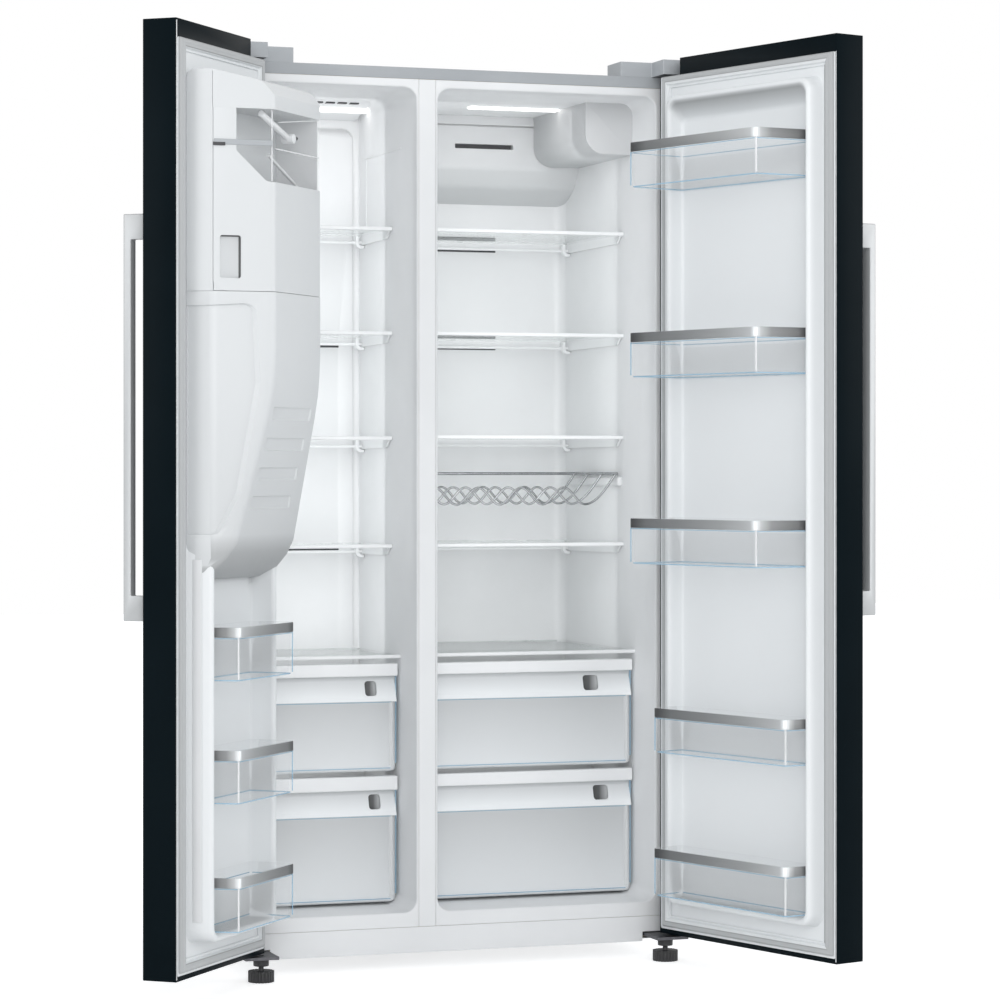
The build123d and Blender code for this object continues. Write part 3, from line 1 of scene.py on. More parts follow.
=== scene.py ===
# %% [markdown]
# # A side by side refrigerator with both doors open
# The imported CAD part is the fixed frame. Each visible piece is modelled over it at the same place,
# rides on the same body and stands for the same node. Sizes are metres, with millimetres where a
# piece is drawn from sizes listed one by one.

import json
from math import acos, atan2, cos, pi, radians, sin, tan

import bpy
from mathutils import Matrix, Vector

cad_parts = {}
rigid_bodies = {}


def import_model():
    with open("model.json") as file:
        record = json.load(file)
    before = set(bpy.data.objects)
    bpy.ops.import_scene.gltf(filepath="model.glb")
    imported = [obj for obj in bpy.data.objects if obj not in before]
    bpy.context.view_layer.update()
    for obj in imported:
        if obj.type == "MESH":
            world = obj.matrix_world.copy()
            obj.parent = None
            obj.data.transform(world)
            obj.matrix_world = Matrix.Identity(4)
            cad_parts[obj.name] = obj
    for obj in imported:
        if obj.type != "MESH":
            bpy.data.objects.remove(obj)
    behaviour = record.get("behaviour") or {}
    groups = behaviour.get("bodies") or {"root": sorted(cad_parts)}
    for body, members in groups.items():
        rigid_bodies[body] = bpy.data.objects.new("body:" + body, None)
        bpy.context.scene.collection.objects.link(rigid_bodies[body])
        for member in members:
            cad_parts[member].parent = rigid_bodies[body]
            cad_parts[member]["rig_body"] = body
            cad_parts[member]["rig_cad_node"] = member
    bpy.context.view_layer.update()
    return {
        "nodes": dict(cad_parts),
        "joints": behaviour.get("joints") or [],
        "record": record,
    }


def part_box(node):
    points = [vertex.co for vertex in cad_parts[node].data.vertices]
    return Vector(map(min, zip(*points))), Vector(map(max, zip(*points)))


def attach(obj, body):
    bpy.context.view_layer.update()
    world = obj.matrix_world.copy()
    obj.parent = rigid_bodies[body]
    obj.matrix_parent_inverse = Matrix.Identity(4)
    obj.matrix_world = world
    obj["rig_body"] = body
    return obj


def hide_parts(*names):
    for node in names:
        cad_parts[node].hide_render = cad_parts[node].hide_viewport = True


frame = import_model()
bpy.ops.object.select_all(action="DESELECT")
joints = {joint["name"]: joint for joint in frame["joints"]}
slots = {entry["node"]: entry["material_slot"] for entry in frame["record"]["subparts"]}
MM = 0.001

# %% [markdown]
# ## Modelling helpers
# Most of this object is moulded sheet: a liner, a bin, a drawer or a housing is one outline pulled
# through a few stations, with every corner rounded. So one helper pulls a loop of edges from outline
# to outline, and the others add blocks, rods, cuts and rounded edges.


# %% Outlines and lofts
def spot(across, a, b, c):
    """A point from two values in an outline and its place across it."""
    return Vector({"X": (c, a, b), "Y": (a, c, b), "Z": (a, b, c)}[across])


def rounded(a0, a1, b0, b1, radius, steps=6):
    """A rectangle with round corners: lower right, upper right, upper left, lower left."""
    radii = radius if isinstance(radius, tuple) else (radius,) * 4
    corners = ((a1, b0, -1, 1), (a1, b1, -1, -1), (a0, b1, 1, -1), (a0, b0, 1, 1))
    points = []
    for quarter, ((a, b, da, db), r) in enumerate(zip(corners, radii)):
        for step in range(steps + 1):
            turn = radians(90 * quarter - 90 + 90 * step / steps)
            points.append((a + da * r + r * cos(turn), b + db * r + r * sin(turn)))
    return points


def soft_outline(corners, steps=6):
    """A closed outline from corners given as (a, b, radius), each rounded by its own radius."""
    points = []
    for i, (a, b, radius) in enumerate(corners):
        here = Vector((a, b))
        before = (Vector(corners[i - 1][:2]) - here).normalized()
        after = (Vector(corners[(i + 1) % len(corners)][:2]) - here).normalized()
        half = acos(max(-1.0, min(1.0, before.dot(after)))) / 2
        centre = here + (before + after).normalized() * (radius / sin(half))
        start = here + before * (radius / tan(half)) - centre
        end = here + after * (radius / tan(half)) - centre
        first = atan2(start.y, start.x)
        sweep = (atan2(end.y, end.x) - first + pi) % (2 * pi) - pi
        for step in range(steps + 1):
            turn = first + sweep * step / steps
            points.append((centre.x + radius * cos(turn), centre.y + radius * sin(turn)))
    return points


def edit(select=True):
    """Enter edit mode on the active piece, with all of it selected or none."""
    bpy.ops.object.mode_set(mode="EDIT")
    bpy.ops.mesh.select_mode(type="VERT")
    bpy.ops.mesh.select_all(action="SELECT" if select else "DESELECT")


def loft(name, across, stations, caps=(True, True), weld=False):
    """A skin pulled from outline to outline; each station is a list of points and its place."""
    count = len(stations[0][0])
    bpy.ops.mesh.primitive_circle_add(vertices=count, fill_type="NOTHING")
    piece = bpy.context.object
    piece.name = piece.data.name = name
    for vertex, (a, b) in zip(piece.data.vertices, stations[0][0]):
        vertex.co = spot(across, a, b, stations[0][1])
    edit()
    for outline, place in stations[1:]:
        bpy.ops.mesh.extrude_region_move()
        bpy.ops.object.mode_set(mode="OBJECT")
        fresh = [vertex for vertex in piece.data.vertices if vertex.select]
        for vertex, (a, b) in zip(fresh, outline):
            vertex.co = spot(across, a, b, place)
        bpy.ops.object.mode_set(mode="EDIT")
    if caps[1]:
        bpy.ops.mesh.edge_face_add()
    if caps[0]:
        bpy.ops.mesh.select_all(action="DESELECT")
        bpy.ops.object.mode_set(mode="OBJECT")
        for vertex in piece.data.vertices[:count]:
            vertex.select = True
        bpy.ops.object.mode_set(mode="EDIT")
        bpy.ops.mesh.edge_face_add()
    bpy.ops.mesh.select_all(action="SELECT")
    if weld:
        bpy.ops.mesh.remove_doubles(threshold=1e-6)
    bpy.ops.mesh.normals_make_consistent(inside=False)
    bpy.ops.object.mode_set(mode="OBJECT")
    bpy.ops.object.transform_apply(location=True, rotation=True, scale=True)
    return piece


def prism(name, across, outline, low, high):
    """A flat outline pulled straight into a solid."""
    return loft(name, across, [(outline, low), (outline, high)])


# %% [markdown]
# ## Blocks, rods and edges
# The smaller pieces start as a cube or a cylinder at its size and place, and are cut, joined and given
# rounded edges by modifiers that are applied at once. A bevel by angle rounds every sharp edge in one go,
# where bevelling by hand would mean choosing the edges. The last helper puts a piece on its body.


# %% Blocks, rods and edges
def only(piece):
    """Make one piece the selected and active one."""
    bpy.ops.object.select_all(action="DESELECT")
    piece.select_set(True)
    bpy.context.view_layer.objects.active = piece
    return piece


def apply(piece, kind, **settings):
    """Add a modifier to a piece and apply it."""
    only(piece)
    modifier = piece.modifiers.new(kind.title(), kind)
    for key, value in settings.items():
        setattr(modifier, key, value)
    bpy.ops.object.modifier_apply(modifier=modifier.name)
    return piece


def round_edges(piece, width, steps=3, limit=35):
    """Round every edge sharper than the limit."""
    return apply(
        piece, "BEVEL", width=width, segments=steps, limit_method="ANGLE", angle_limit=radians(limit)
    )


def block(name, low, high, edge=0.0, steps=3):
    """A block between two corners, with rounded edges if it has any."""
    low, high = Vector(low), Vector(high)
    bpy.ops.mesh.primitive_cube_add(size=1, location=(low + high) / 2, scale=high - low)
    piece = bpy.context.object
    piece.name = piece.data.name = name
    bpy.ops.object.transform_apply(location=True, rotation=True, scale=True)
    if edge:
        round_edges(piece, edge, steps)
    return piece


def rod(name, start, end, radius, sides=32, edge=0.0):
    """A round bar between two points."""
    start, end = Vector(start), Vector(end)
    turn = (end - start).to_track_quat("Z", "Y").to_euler()
    bpy.ops.mesh.primitive_cylinder_add(
        vertices=sides, radius=radius, depth=(end - start).length, location=(start + end) / 2, rotation=turn
    )
    piece = bpy.context.object
    piece.name = piece.data.name = name
    bpy.ops.object.transform_apply(location=True, rotation=True, scale=True)
    if edge:
        round_edges(piece, edge, 2, 60)
    return piece


def cut(piece, *tools):
    """Take the tools out of the piece."""
    for tool in tools:
        apply(piece, "BOOLEAN", operation="DIFFERENCE", solver="EXACT", object=tool)
        bpy.data.objects.remove(tool)
    return piece


def join(name, pieces):
    """Several solids as one piece."""
    bpy.ops.object.select_all(action="DESELECT")
    for piece in pieces:
        piece.select_set(True)
    bpy.context.view_layer.objects.active = pieces[0]
    if len(pieces) > 1:
        bpy.ops.object.join()
    pieces[0].name = pieces[0].data.name = name
    return pieces[0]


def keep(piece, tool):
    """Leave only what a piece shares with the tool."""
    apply(piece, "BOOLEAN", operation="INTERSECT", solver="EXACT", object=tool)
    bpy.data.objects.remove(tool)
    return piece


def softened(node, width, steps=2, limit=40):
    """A CAD piece copied, merged and given the small round edges of a pressed or moulded one."""
    source = frame["nodes"][node]
    only(source)
    bpy.ops.object.duplicate()
    piece = bpy.context.object
    bpy.ops.object.parent_clear(type="CLEAR_KEEP_TRANSFORM")
    piece.name = piece.data.name = node + "_soft"
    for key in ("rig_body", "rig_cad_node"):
        del piece[key]
    piece.data.materials.clear()
    edit()
    bpy.ops.mesh.remove_doubles(threshold=1e-5)
    bpy.ops.mesh.dissolve_limited(angle_limit=radians(0.5))
    bpy.ops.mesh.normals_make_consistent(inside=False)
    bpy.ops.object.mode_set(mode="OBJECT")
    if width:
        round_edges(piece, width, steps, limit)
    return piece


def settle(piece, body, material, slot, *nodes, place=None, angle=40):
    """Shade a piece, put it in its place, give it its finish, tie it to its body and hide the CAD nodes it
    stands for.
    """
    only(piece)
    if place is not None:
        piece.matrix_world = place
        bpy.ops.object.transform_apply(location=True, rotation=True, scale=True)
    bpy.ops.object.shade_smooth_by_angle(angle=radians(angle))
    piece.data.materials.clear()
    piece.data.materials.append(material)
    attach(piece, body)
    if nodes:
        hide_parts(*nodes)
    return piece


# %% [markdown]
# ## The two door frames
# Each door is modelled as if it were shut and square, in a frame on its hinge: across the door, out of
# its inner face, and up. The record's joint says where the hinge stands and how far the door is open.


# %% Door frames
def door_frame(name):
    """The frame on a door's hinge, turned as far as the door stands open."""
    joint = joints[name]
    turn = radians(-joint["range_deg"][0] * joint["axis"][2])
    x, y, z = joint["pos_m"]
    return Matrix.Translation((x, y, 0)) @ Matrix.Rotation(turn, 4, "Z")


def box_in(node, place):
    """A CAD node's lowest and highest corner, measured in a door's frame."""
    back = place.inverted()
    corners = [back @ vertex.co for vertex in frame["nodes"][node].data.vertices]
    low = Vector([min(c[i] for c in corners) for i in range(3)])
    high = Vector([max(c[i] for c in corners) for i in range(3)])
    return low, high


def ice_x(along):
    """Place along the freezer door from its hinge edge, in the door's frame."""
    return (along - 14) * MM


freezer_place = door_frame("freezer_door_hinge")
fridge_place = door_frame("fridge_door_hinge")
INNER = 0.030
for name, place in (("freezer_door_shell", freezer_place), ("fridge_door_shell", fridge_place)):
    low, high = box_in(name, place)
    print(name, [round(v / MM, 1) for v in (*low, *high)])

# %% [markdown]
# ## Finishes
# Every finish is a small node tree: a fine noise in object space moves the colour and the roughness a
# little, and a bump gives moulded plastic its faint orange peel and steel its brushing.


# %% Finish helpers
def new_finish(name, rough, metal=0.0):
    """A principled material with a starting roughness."""
    material = bpy.data.materials.new(name)
    material.use_nodes = True
    shader = material.node_tree.nodes["Principled BSDF"]
    shader.inputs["Metallic"].default_value = metal
    shader.inputs["Roughness"].default_value = rough
    return material, material.node_tree, shader


def noise(tree, scale, stretch=(1, 1, 1), detail=3):
    """A noise in object space, stretched where a finish has a direction."""
    coords = tree.nodes.new("ShaderNodeTexCoord")
    mapping = tree.nodes.new("ShaderNodeMapping")
    mapping.inputs["Scale"].default_value = stretch
    texture = tree.nodes.new("ShaderNodeTexNoise")
    texture.inputs["Scale"].default_value = scale
    texture.inputs["Detail"].default_value = detail
    tree.links.new(coords.outputs["Object"], mapping.inputs["Vector"])
    tree.links.new(mapping.outputs["Vector"], texture.inputs["Vector"])
    return texture.outputs["Fac"]


def tint(tree, shader, value, dark, light):
    """Let a noise run the colour between two near tones."""
    ramp = tree.nodes.new("ShaderNodeValToRGB")
    ramp.color_ramp.elements[0].position = 0.3
    ramp.color_ramp.elements[0].color = (*dark, 1)
    ramp.color_ramp.elements[1].position = 0.7
    ramp.color_ramp.elements[1].color = (*light, 1)
    tree.links.new(value, ramp.inputs["Fac"])
    tree.links.new(ramp.outputs["Color"], shader.inputs["Base Color"])


def vary(tree, shader, value, socket, low, high):
    """Let a noise run one input between two values."""
    spread = tree.nodes.new("ShaderNodeMapRange")
    spread.inputs["To Min"].default_value = low
    spread.inputs["To Max"].default_value = high
    tree.links.new(value, spread.inputs["Value"])
    tree.links.new(spread.outputs["Result"], shader.inputs[socket])


def bump(tree, shader, value, strength, distance):
    """Raise a noise as a very shallow relief."""
    relief = tree.nodes.new("ShaderNodeBump")
    relief.inputs["Strength"].default_value = strength
    relief.inputs["Distance"].default_value = distance
    tree.links.new(value, relief.inputs["Height"])
    tree.links.new(relief.outputs["Normal"], shader.inputs["Normal"])


def moulded(name, dark, light, rough, peel=0.03):
    """Moulded plastic or enamel: two near tones, a soft shine and a faint orange peel."""
    material, tree, shader = new_finish(name, rough)
    tint(tree, shader, noise(tree, 6), dark, light)
    vary(tree, shader, noise(tree, 40), "Roughness", rough - 0.04, rough + 0.04)
    if peel:
        bump(tree, shader, noise(tree, 260), peel, 0.0004)
    return material


def brushed(name, dark, light, rough, stretch):
    """Brushed metal: fine streaks along one direction in the colour, the roughness and the relief."""
    material, tree, shader = new_finish(name, rough, metal=1.0)
    streaks = noise(tree, 60, stretch, 5)
    tint(tree, shader, streaks, dark, light)
    vary(tree, shader, streaks, "Roughness", rough - 0.06, rough + 0.08)
    bump(tree, shader, streaks, 0.08, 0.0004)
    return material


def clear(name, tone, rough, body):
    """Clear or frosted sheet: most light goes straight through, and its body shows as a pale veil."""
    material, tree, shader = new_finish(name, rough)
    tint(tree, shader, noise(tree, 5), tuple(0.97 * c for c in tone), tone)
    vary(tree, shader, noise(tree, 30), "Roughness", rough * 0.8, rough * 1.2)
    vary(tree, shader, noise(tree, 9), "Alpha", body * 0.94, body * 1.06)
    return material


def paint(piece, value, domain="POINT"):
    """Store a number at every point or face of a piece, for a finish that changes along it."""
    layer = piece.data.attributes.new("shade", "FLOAT", domain)
    for part in piece.data.vertices if domain == "POINT" else piece.data.polygons:
        layer.data[part.index].value = value(part)
    return piece


def graded(name, stops, rough, metal=0.0):
    """A finish whose tone follows the number painted along its piece, from place and tone pairs."""
    material, tree, shader = new_finish(name, rough, metal)
    painted = tree.nodes.new("ShaderNodeAttribute")
    painted.attribute_name = "shade"
    ramp = tree.nodes.new("ShaderNodeValToRGB")
    marks = ramp.color_ramp.elements
    marks[0].position, marks[1].position = stops[0][0], stops[-1][0]
    marks[0].color = (0.975 * stops[0][1], stops[0][1], 1.015 * stops[0][1], 1)
    marks[1].color = (0.975 * stops[-1][1], stops[-1][1], 1.015 * stops[-1][1], 1)
    for place, tone in stops[1:-1]:
        marks.new(place).color = (0.975 * tone, tone, 1.015 * tone, 1)
    tree.links.new(painted.outputs["Fac"], ramp.inputs["Fac"])
    tree.links.new(ramp.outputs["Color"], shader.inputs["Base Color"])
    vary(tree, shader, noise(tree, 40), "Roughness", rough - 0.04, rough + 0.04)
    return material


# %% [markdown]
# ## The finishes of this refrigerator
# Liners are white moulded plastic, doors black coated steel, trims brushed steel, bins clear plastic.
# Where the photo shows light or shade running along a piece, that light or shade is painted into the tone:
# a ramp read from a painted attribute, because a flat colour would look dead; no picture texture is used.

# %% The finishes
liner_white = moulded("liner_white", (0.80, 0.81, 0.82), (0.84, 0.85, 0.86), 0.36, 0.012)
trim_white = moulded("trim_white", (0.80, 0.81, 0.82), (0.84, 0.85, 0.86), 0.40, 0.012)
door_black = moulded("door_black", (0.0022, 0.0056, 0.0078), (0.0030, 0.0070, 0.0096), 0.30, 0.02)
door_black.node_tree.nodes["Principled BSDF"].inputs["Specular IOR Level"].default_value = 0.03
cabinet_grey = moulded("cabinet_grey", (0.36, 0.38, 0.40), (0.40, 0.42, 0.44), 0.40)
cover_grey = moulded("cover_grey", (0.38, 0.40, 0.42), (0.43, 0.45, 0.47), 0.42)
# Gasket: a dark band of painted shade in the groove next to the liner, then white where the liner laps over.
gasket_grey = graded(
    "gasket_grey",
    [(0, 0.40), (0.3, 0.48), (0.68, 0.46), (0.74, 0.30), (0.78, 0.30), (0.84, 0.72), (1, 0.80)],
    0.55,
)
foam = moulded("foam", (0.62, 0.55, 0.38), (0.70, 0.63, 0.45), 0.85)
plain_steel = brushed("plain_steel", (0.48, 0.49, 0.50), (0.58, 0.59, 0.60), 0.42, (1, 1, 1))
dark_steel = brushed("dark_steel", (0.10, 0.10, 0.11), (0.15, 0.15, 0.16), 0.45, (1, 1, 1))
# Painted light and shade on the handles: lighter on the side near the door, darker outwards and on the posts.
handle_steel = graded(
    "handle_steel", [(0, 0.60), (0.5, 0.50), (0.9, 0.44), (1, 0.40)], 0.34, 0.2
)
# Painted reflection on the bin strips: dark at the ends, lighter along the front, with a painted highlight at
# the front corner.
trim_steel_reflection = graded(
    "trim_steel_reflection",
    [(0, 0.05), (0.13, 0.06), (0.2, 0.18), (0.4, 0.25), (0.6, 0.36), (0.72, 0.48)]
    + [(0.755, 0.55), (0.775, 0.95), (0.79, 0.5), (0.83, 0.25), (1, 0.05)],
    0.34,
    0.2,
)
# Painted shadow: the drawer band darkens towards its top, under the bar.
band_shadow_white = graded("band_shadow_white", [(0, 0.98), (0.15, 0.96), (0.8, 0.74), (1, 0.62)], 0.36)
# Painted shade on the ice grip's roof and ridge side.
grip_shade_white = graded("grip_shade_white", [(0, 0.66), (1, 0.10)], 0.4)
# Painted shade down the outer side of the freezer door's dyke.
dyke_shade_white = graded("dyke_shade_white", [(0, 0.78), (0.3, 0.56), (0.5, 0.42), (0.75, 0.28), (1, 0.28)], 0.36)
# Painted shade on the down-facing top slope of the fridge door liner.
scoop_shade_white = graded("scoop_shade_white", [(0, 0.82), (0.3, 0.70), (1, 0.30)], 0.36)
# Ice unit white: a darker copy of the white as painted shade, running darker still towards the chute's
# underside.
ice_shade_white = graded(
    "ice_shade_white",
    [(0, 0.36), (0.1, 0.42), (0.135, 0.52), (0.16, 0.61), (0.4, 0.64), (0.7, 0.67), (1, 0.68)],
    0.36,
)
# Painted shade inside the drawers' hand holes, darkest at the left.
hole_shade_grey = graded("hole_shade_grey", [(0, 0.06), (0.5, 0.12), (0.8, 0.40), (1, 0.62)], 0.42)
# A brighter copy of the white plastic, painted light, for the shelf and drawer bars and the cover trims.
shelf_lit_white = moulded("shelf_lit_white", (0.90, 0.91, 0.92), (0.94, 0.95, 0.96), 0.36, 0)
# Painted shade: the frosted tubs run darker towards the top, and their cheeks take the dark end.
frosted = graded("frosted", [(0, 0.96), (0.3, 0.88), (0.8, 0.74), (1, 0.68)], 0.30)
frosted.node_tree.nodes["Principled BSDF"].inputs["Alpha"].default_value = 0.84
niche_black = moulded("niche_black", (0.012, 0.012, 0.014), (0.020, 0.020, 0.022), 0.30)
dark_plastic = moulded("dark_plastic", (0.035, 0.036, 0.04), (0.05, 0.052, 0.056), 0.42)
foot_black = moulded("foot_black", (0.020, 0.020, 0.022), (0.032, 0.032, 0.034), 0.48)
coil_alu = brushed("coil_alu", (0.60, 0.61, 0.62), (0.70, 0.71, 0.72), 0.35, (1, 1, 1))
compressor_black = moulded("compressor_black", (0.012, 0.012, 0.013), (0.022, 0.022, 0.023), 0.35)
rack_chrome = brushed("rack_chrome", (0.30, 0.31, 0.32), (0.40, 0.41, 0.42), 0.18, (1, 1, 1))
# Darker copies of the white plastic, painted shade: the filter housing, and the duct, the dyke panel and the
# plates inside the ice bucket.
filter_shade_white = moulded("filter_shade_white", (0.58, 0.59, 0.60), (0.62, 0.63, 0.64), 0.4, 0.012)
duct_shade_white = moulded("duct_shade_white", (0.68, 0.69, 0.70), (0.72, 0.73, 0.74), 0.4, 0.012)
valve_white = moulded("valve_white", (0.70, 0.70, 0.70), (0.76, 0.76, 0.76), 0.4)
clear_bin = clear("clear_bin", (0.92, 0.95, 0.97), 0.08, 0.07)
# Painted light: pale blue edge strips on the clear bins and drawers.
clear_edge = clear("clear_edge", (0.42, 0.66, 0.84), 0.12, 0.60)
# Painted highlight: thin pale strips on corners and lines of clear plastic.
glint = clear("glint", (0.96, 0.97, 0.98), 0.20, 0.60)
shelf_glass = clear("shelf_glass", (0.80, 0.86, 0.85), 0.06, 0.30)
light_lens, lens_tree, lens_shader = new_finish("light_lens", 0.4)
tint(lens_tree, lens_shader, noise(lens_tree, 8), (0.90, 0.91, 0.92), (0.95, 0.96, 0.97))
lens_shader.inputs["Emission Color"].default_value = (1.0, 0.98, 0.95, 1)
lens_shader.inputs["Emission Strength"].default_value = 2.0
finishes = {
    "liner_white": liner_white,
    "trim_white": trim_white,
    "door_black": door_black,
    "cabinet_grey": cabinet_grey,
    "cover_grey": cover_grey,
    "gasket_grey": gasket_grey,
    "foam": foam,
    "plain_steel": plain_steel,
    "dark_steel": dark_steel,
    "handle_steel": handle_steel,
    "niche_black": niche_black,
    "dark_plastic": dark_plastic,
    "foot_black": foot_black,
    "coil_alu": coil_alu,
    "compressor_black": compressor_black,
    "rack_chrome": rack_chrome,
    "valve_white": valve_white,
    "clear_bin": clear_bin,
    "shelf_glass": shelf_glass,
    "light_lens": light_lens,
}
for node, thing in frame["nodes"].items():
    thing.data.materials.clear()
    thing.data.materials.append(finishes[slots[node]])
print("finishes", len(finishes))

# %% [markdown]
# ## Fridge and freezer liners
# Each compartment is one vacuum-formed white sheet: a flat front rim, a rounded mouth, straight walls
# and a rounded back. So it is one loop of edges pulled from the rim to the back wall. The hump over the
# machine room is part of the same forming.

# %% Compartment liners
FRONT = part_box("freezer_liner")[0].y
FLOOR_Z, CEILING = 112 * MM, 1718 * MM
FREEZER_X = (-411 * MM, -89 * MM)
FRIDGE_X = (-45 * MM, 411 * MM)
DEPTH = 529 * MM


def compartment(node, left, right):
    """A liner pulled from its front rim to its back wall."""
    low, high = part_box(node)
    radius = 25 * MM

    def rim(inset, y):
        return rounded(low.x + inset, high.x - inset, low.z + inset, high.z - inset, 1.5 * MM), y

    def mouth(inset, r, y):
        return rounded(left + inset, right - inset, FLOOR_Z + inset, CEILING - inset, r), y

    stations = [
        rim(0, FRONT + 2 * MM),
        rim(0, FRONT + 0.4 * MM),
        rim(0.4 * MM, FRONT),
        mouth(-4 * MM, radius + 4 * MM, FRONT),
        mouth(-2 * MM, radius + 2 * MM, FRONT + 0.5 * MM),
        mouth(-0.6 * MM, radius + 0.6 * MM, FRONT + 2 * MM),
        mouth(0, radius, FRONT + 4.5 * MM),
        mouth(0, radius, FRONT + 92 * MM),
        mouth(1.6 * MM, radius, FRONT + 96 * MM),
        mouth(1.6 * MM, radius, FRONT + DEPTH - 25 * MM),
    ]
    for step in range(1, 6):
        turn = radians(90 * step / 5)
        inset = 1.6 * MM + 24 * MM * (1 - cos(turn))
        stations.append(mouth(inset, radius, FRONT + DEPTH - 25 * MM + 24 * MM * sin(turn)))
    return loft(node + "_shell", "Y", stations, caps=(False, True))


for node, (left, right) in (("freezer_liner", FREEZER_X), ("fridge_liner", FRIDGE_X)):
    shell = compartment(node, left, right)
    hump = [
        (FRONT + 345 * MM, FLOOR_Z + 1 * MM, 0.5 * MM),
        (FRONT + DEPTH - 2 * MM, FLOOR_Z + 1 * MM, 0.5 * MM),
        (FRONT + DEPTH - 2 * MM, 368 * MM, 0.5 * MM),
        (FRONT + 345 * MM, 368 * MM, 18 * MM),
    ]
    hump_piece = prism(node + "_hump", "X", soft_outline(hump), left + 1 * MM, right - 1 * MM)
    shell = join(node + "_shell", [shell, hump_piece])
    settle(shell, "cabinet", liner_white, "liner_white", node)
    print(node, "vertices", len(shell.data.vertices))

# %% [markdown]
# ## Glass shelves
# A pane of safety glass sits in a white moulding: a slim rounded bar along the front, two side brackets
# of even depth that end in a hook over the ledge, and a round rail between the hooks. The shelves of a
# compartment are all alike, so one is modelled and copied to the other heights.


# %% Shelves
def shelf_parts(node):
    """The moulding and the pane of one shelf, from the CAD node's box."""
    low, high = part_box(node)
    top, front, back = high.z, low.y, high.y
    bar = [
        (front, top - 7.5 * MM, 2.5 * MM),
        (front + 14 * MM, top - 7.5 * MM, 1 * MM),
        (front + 14 * MM, top, 1 * MM),
        (front, top, 2.5 * MM),
    ]
    parts = [prism(node + "_bar", "X", soft_outline(bar), low.x, high.x)]
    plate = [
        (front + 13 * MM, top - 7 * MM, 1.5 * MM),
        (front + 30 * MM, top - 22 * MM, 10 * MM),
        (back - 14 * MM, top - 24 * MM, 2 * MM),
        (back - 14 * MM, top - 1 * MM, 1 * MM),
        (front + 13 * MM, top - 1 * MM, 0.5 * MM),
    ]
    for x in (low.x, high.x - 4 * MM):
        parts.append(prism(node + "_plate", "X", soft_outline(plate, 5), x, x + 4 * MM))
    for wall, inward in ((low.x, 1), (high.x, -1)):
        post, foot = wall + inward * 18 * MM, top - 31 * MM
        hook = [
            (post, top - 6 * MM, 1.5 * MM),
            (post, foot, 12 * MM),
            (wall, foot, 0.5 * MM),
            (wall, foot + 5 * MM, 0.5 * MM),
            (post - inward * 6 * MM, foot + 5 * MM, 7 * MM),
            (post - inward * 6 * MM, top - 6 * MM, 1.5 * MM),
        ]
        parts.append(prism(node + "_hook", "Y", soft_outline(hook), back - 26 * MM, back - 14 * MM))
    rail_y, rail_z = back - 20 * MM, top - 19 * MM
    rail_ends = (low.x + 4 * MM, rail_y, rail_z), (high.x - 4 * MM, rail_y, rail_z)
    parts.append(rod(node + "_rail", *rail_ends, 3 * MM, 16))
    moulding = join(node + "_moulding", parts)
    pane = block(
        node + "_pane",
        (low.x + 3 * MM, front + 9 * MM, top - 5.4 * MM),
        (high.x - 3 * MM, back - 1 * MM, top - 1.4 * MM),
        0.4 * MM,
    )
    return moulding, pane


def raised_copy(piece, name, rise):
    """A copy of a piece with a mesh of its own, moved up or down."""
    only(piece)
    bpy.ops.object.duplicate()
    twin = bpy.context.object
    twin.name = twin.data.name = name
    twin.location.z = rise
    bpy.ops.object.transform_apply(location=True, rotation=True, scale=True)
    return twin


for room in ("freezer", "fridge"):
    first = f"{room}_shelf_1"
    shelves = {first: shelf_parts(first)}
    for number in range(2, 5):
        node = f"{room}_shelf_{number}"
        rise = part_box(node)[1].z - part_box(first)[1].z
        moulding, pane = shelves[first]
        moulding = raised_copy(moulding, node + "_moulding", rise)
        shelves[node] = moulding, raised_copy(pane, node + "_pane", rise)
    for node, (moulding, pane) in shelves.items():
        settle(moulding, "cabinet", shelf_lit_white, "trim_white", node)
        settle(pane, "cabinet", shelf_glass, "shelf_glass")
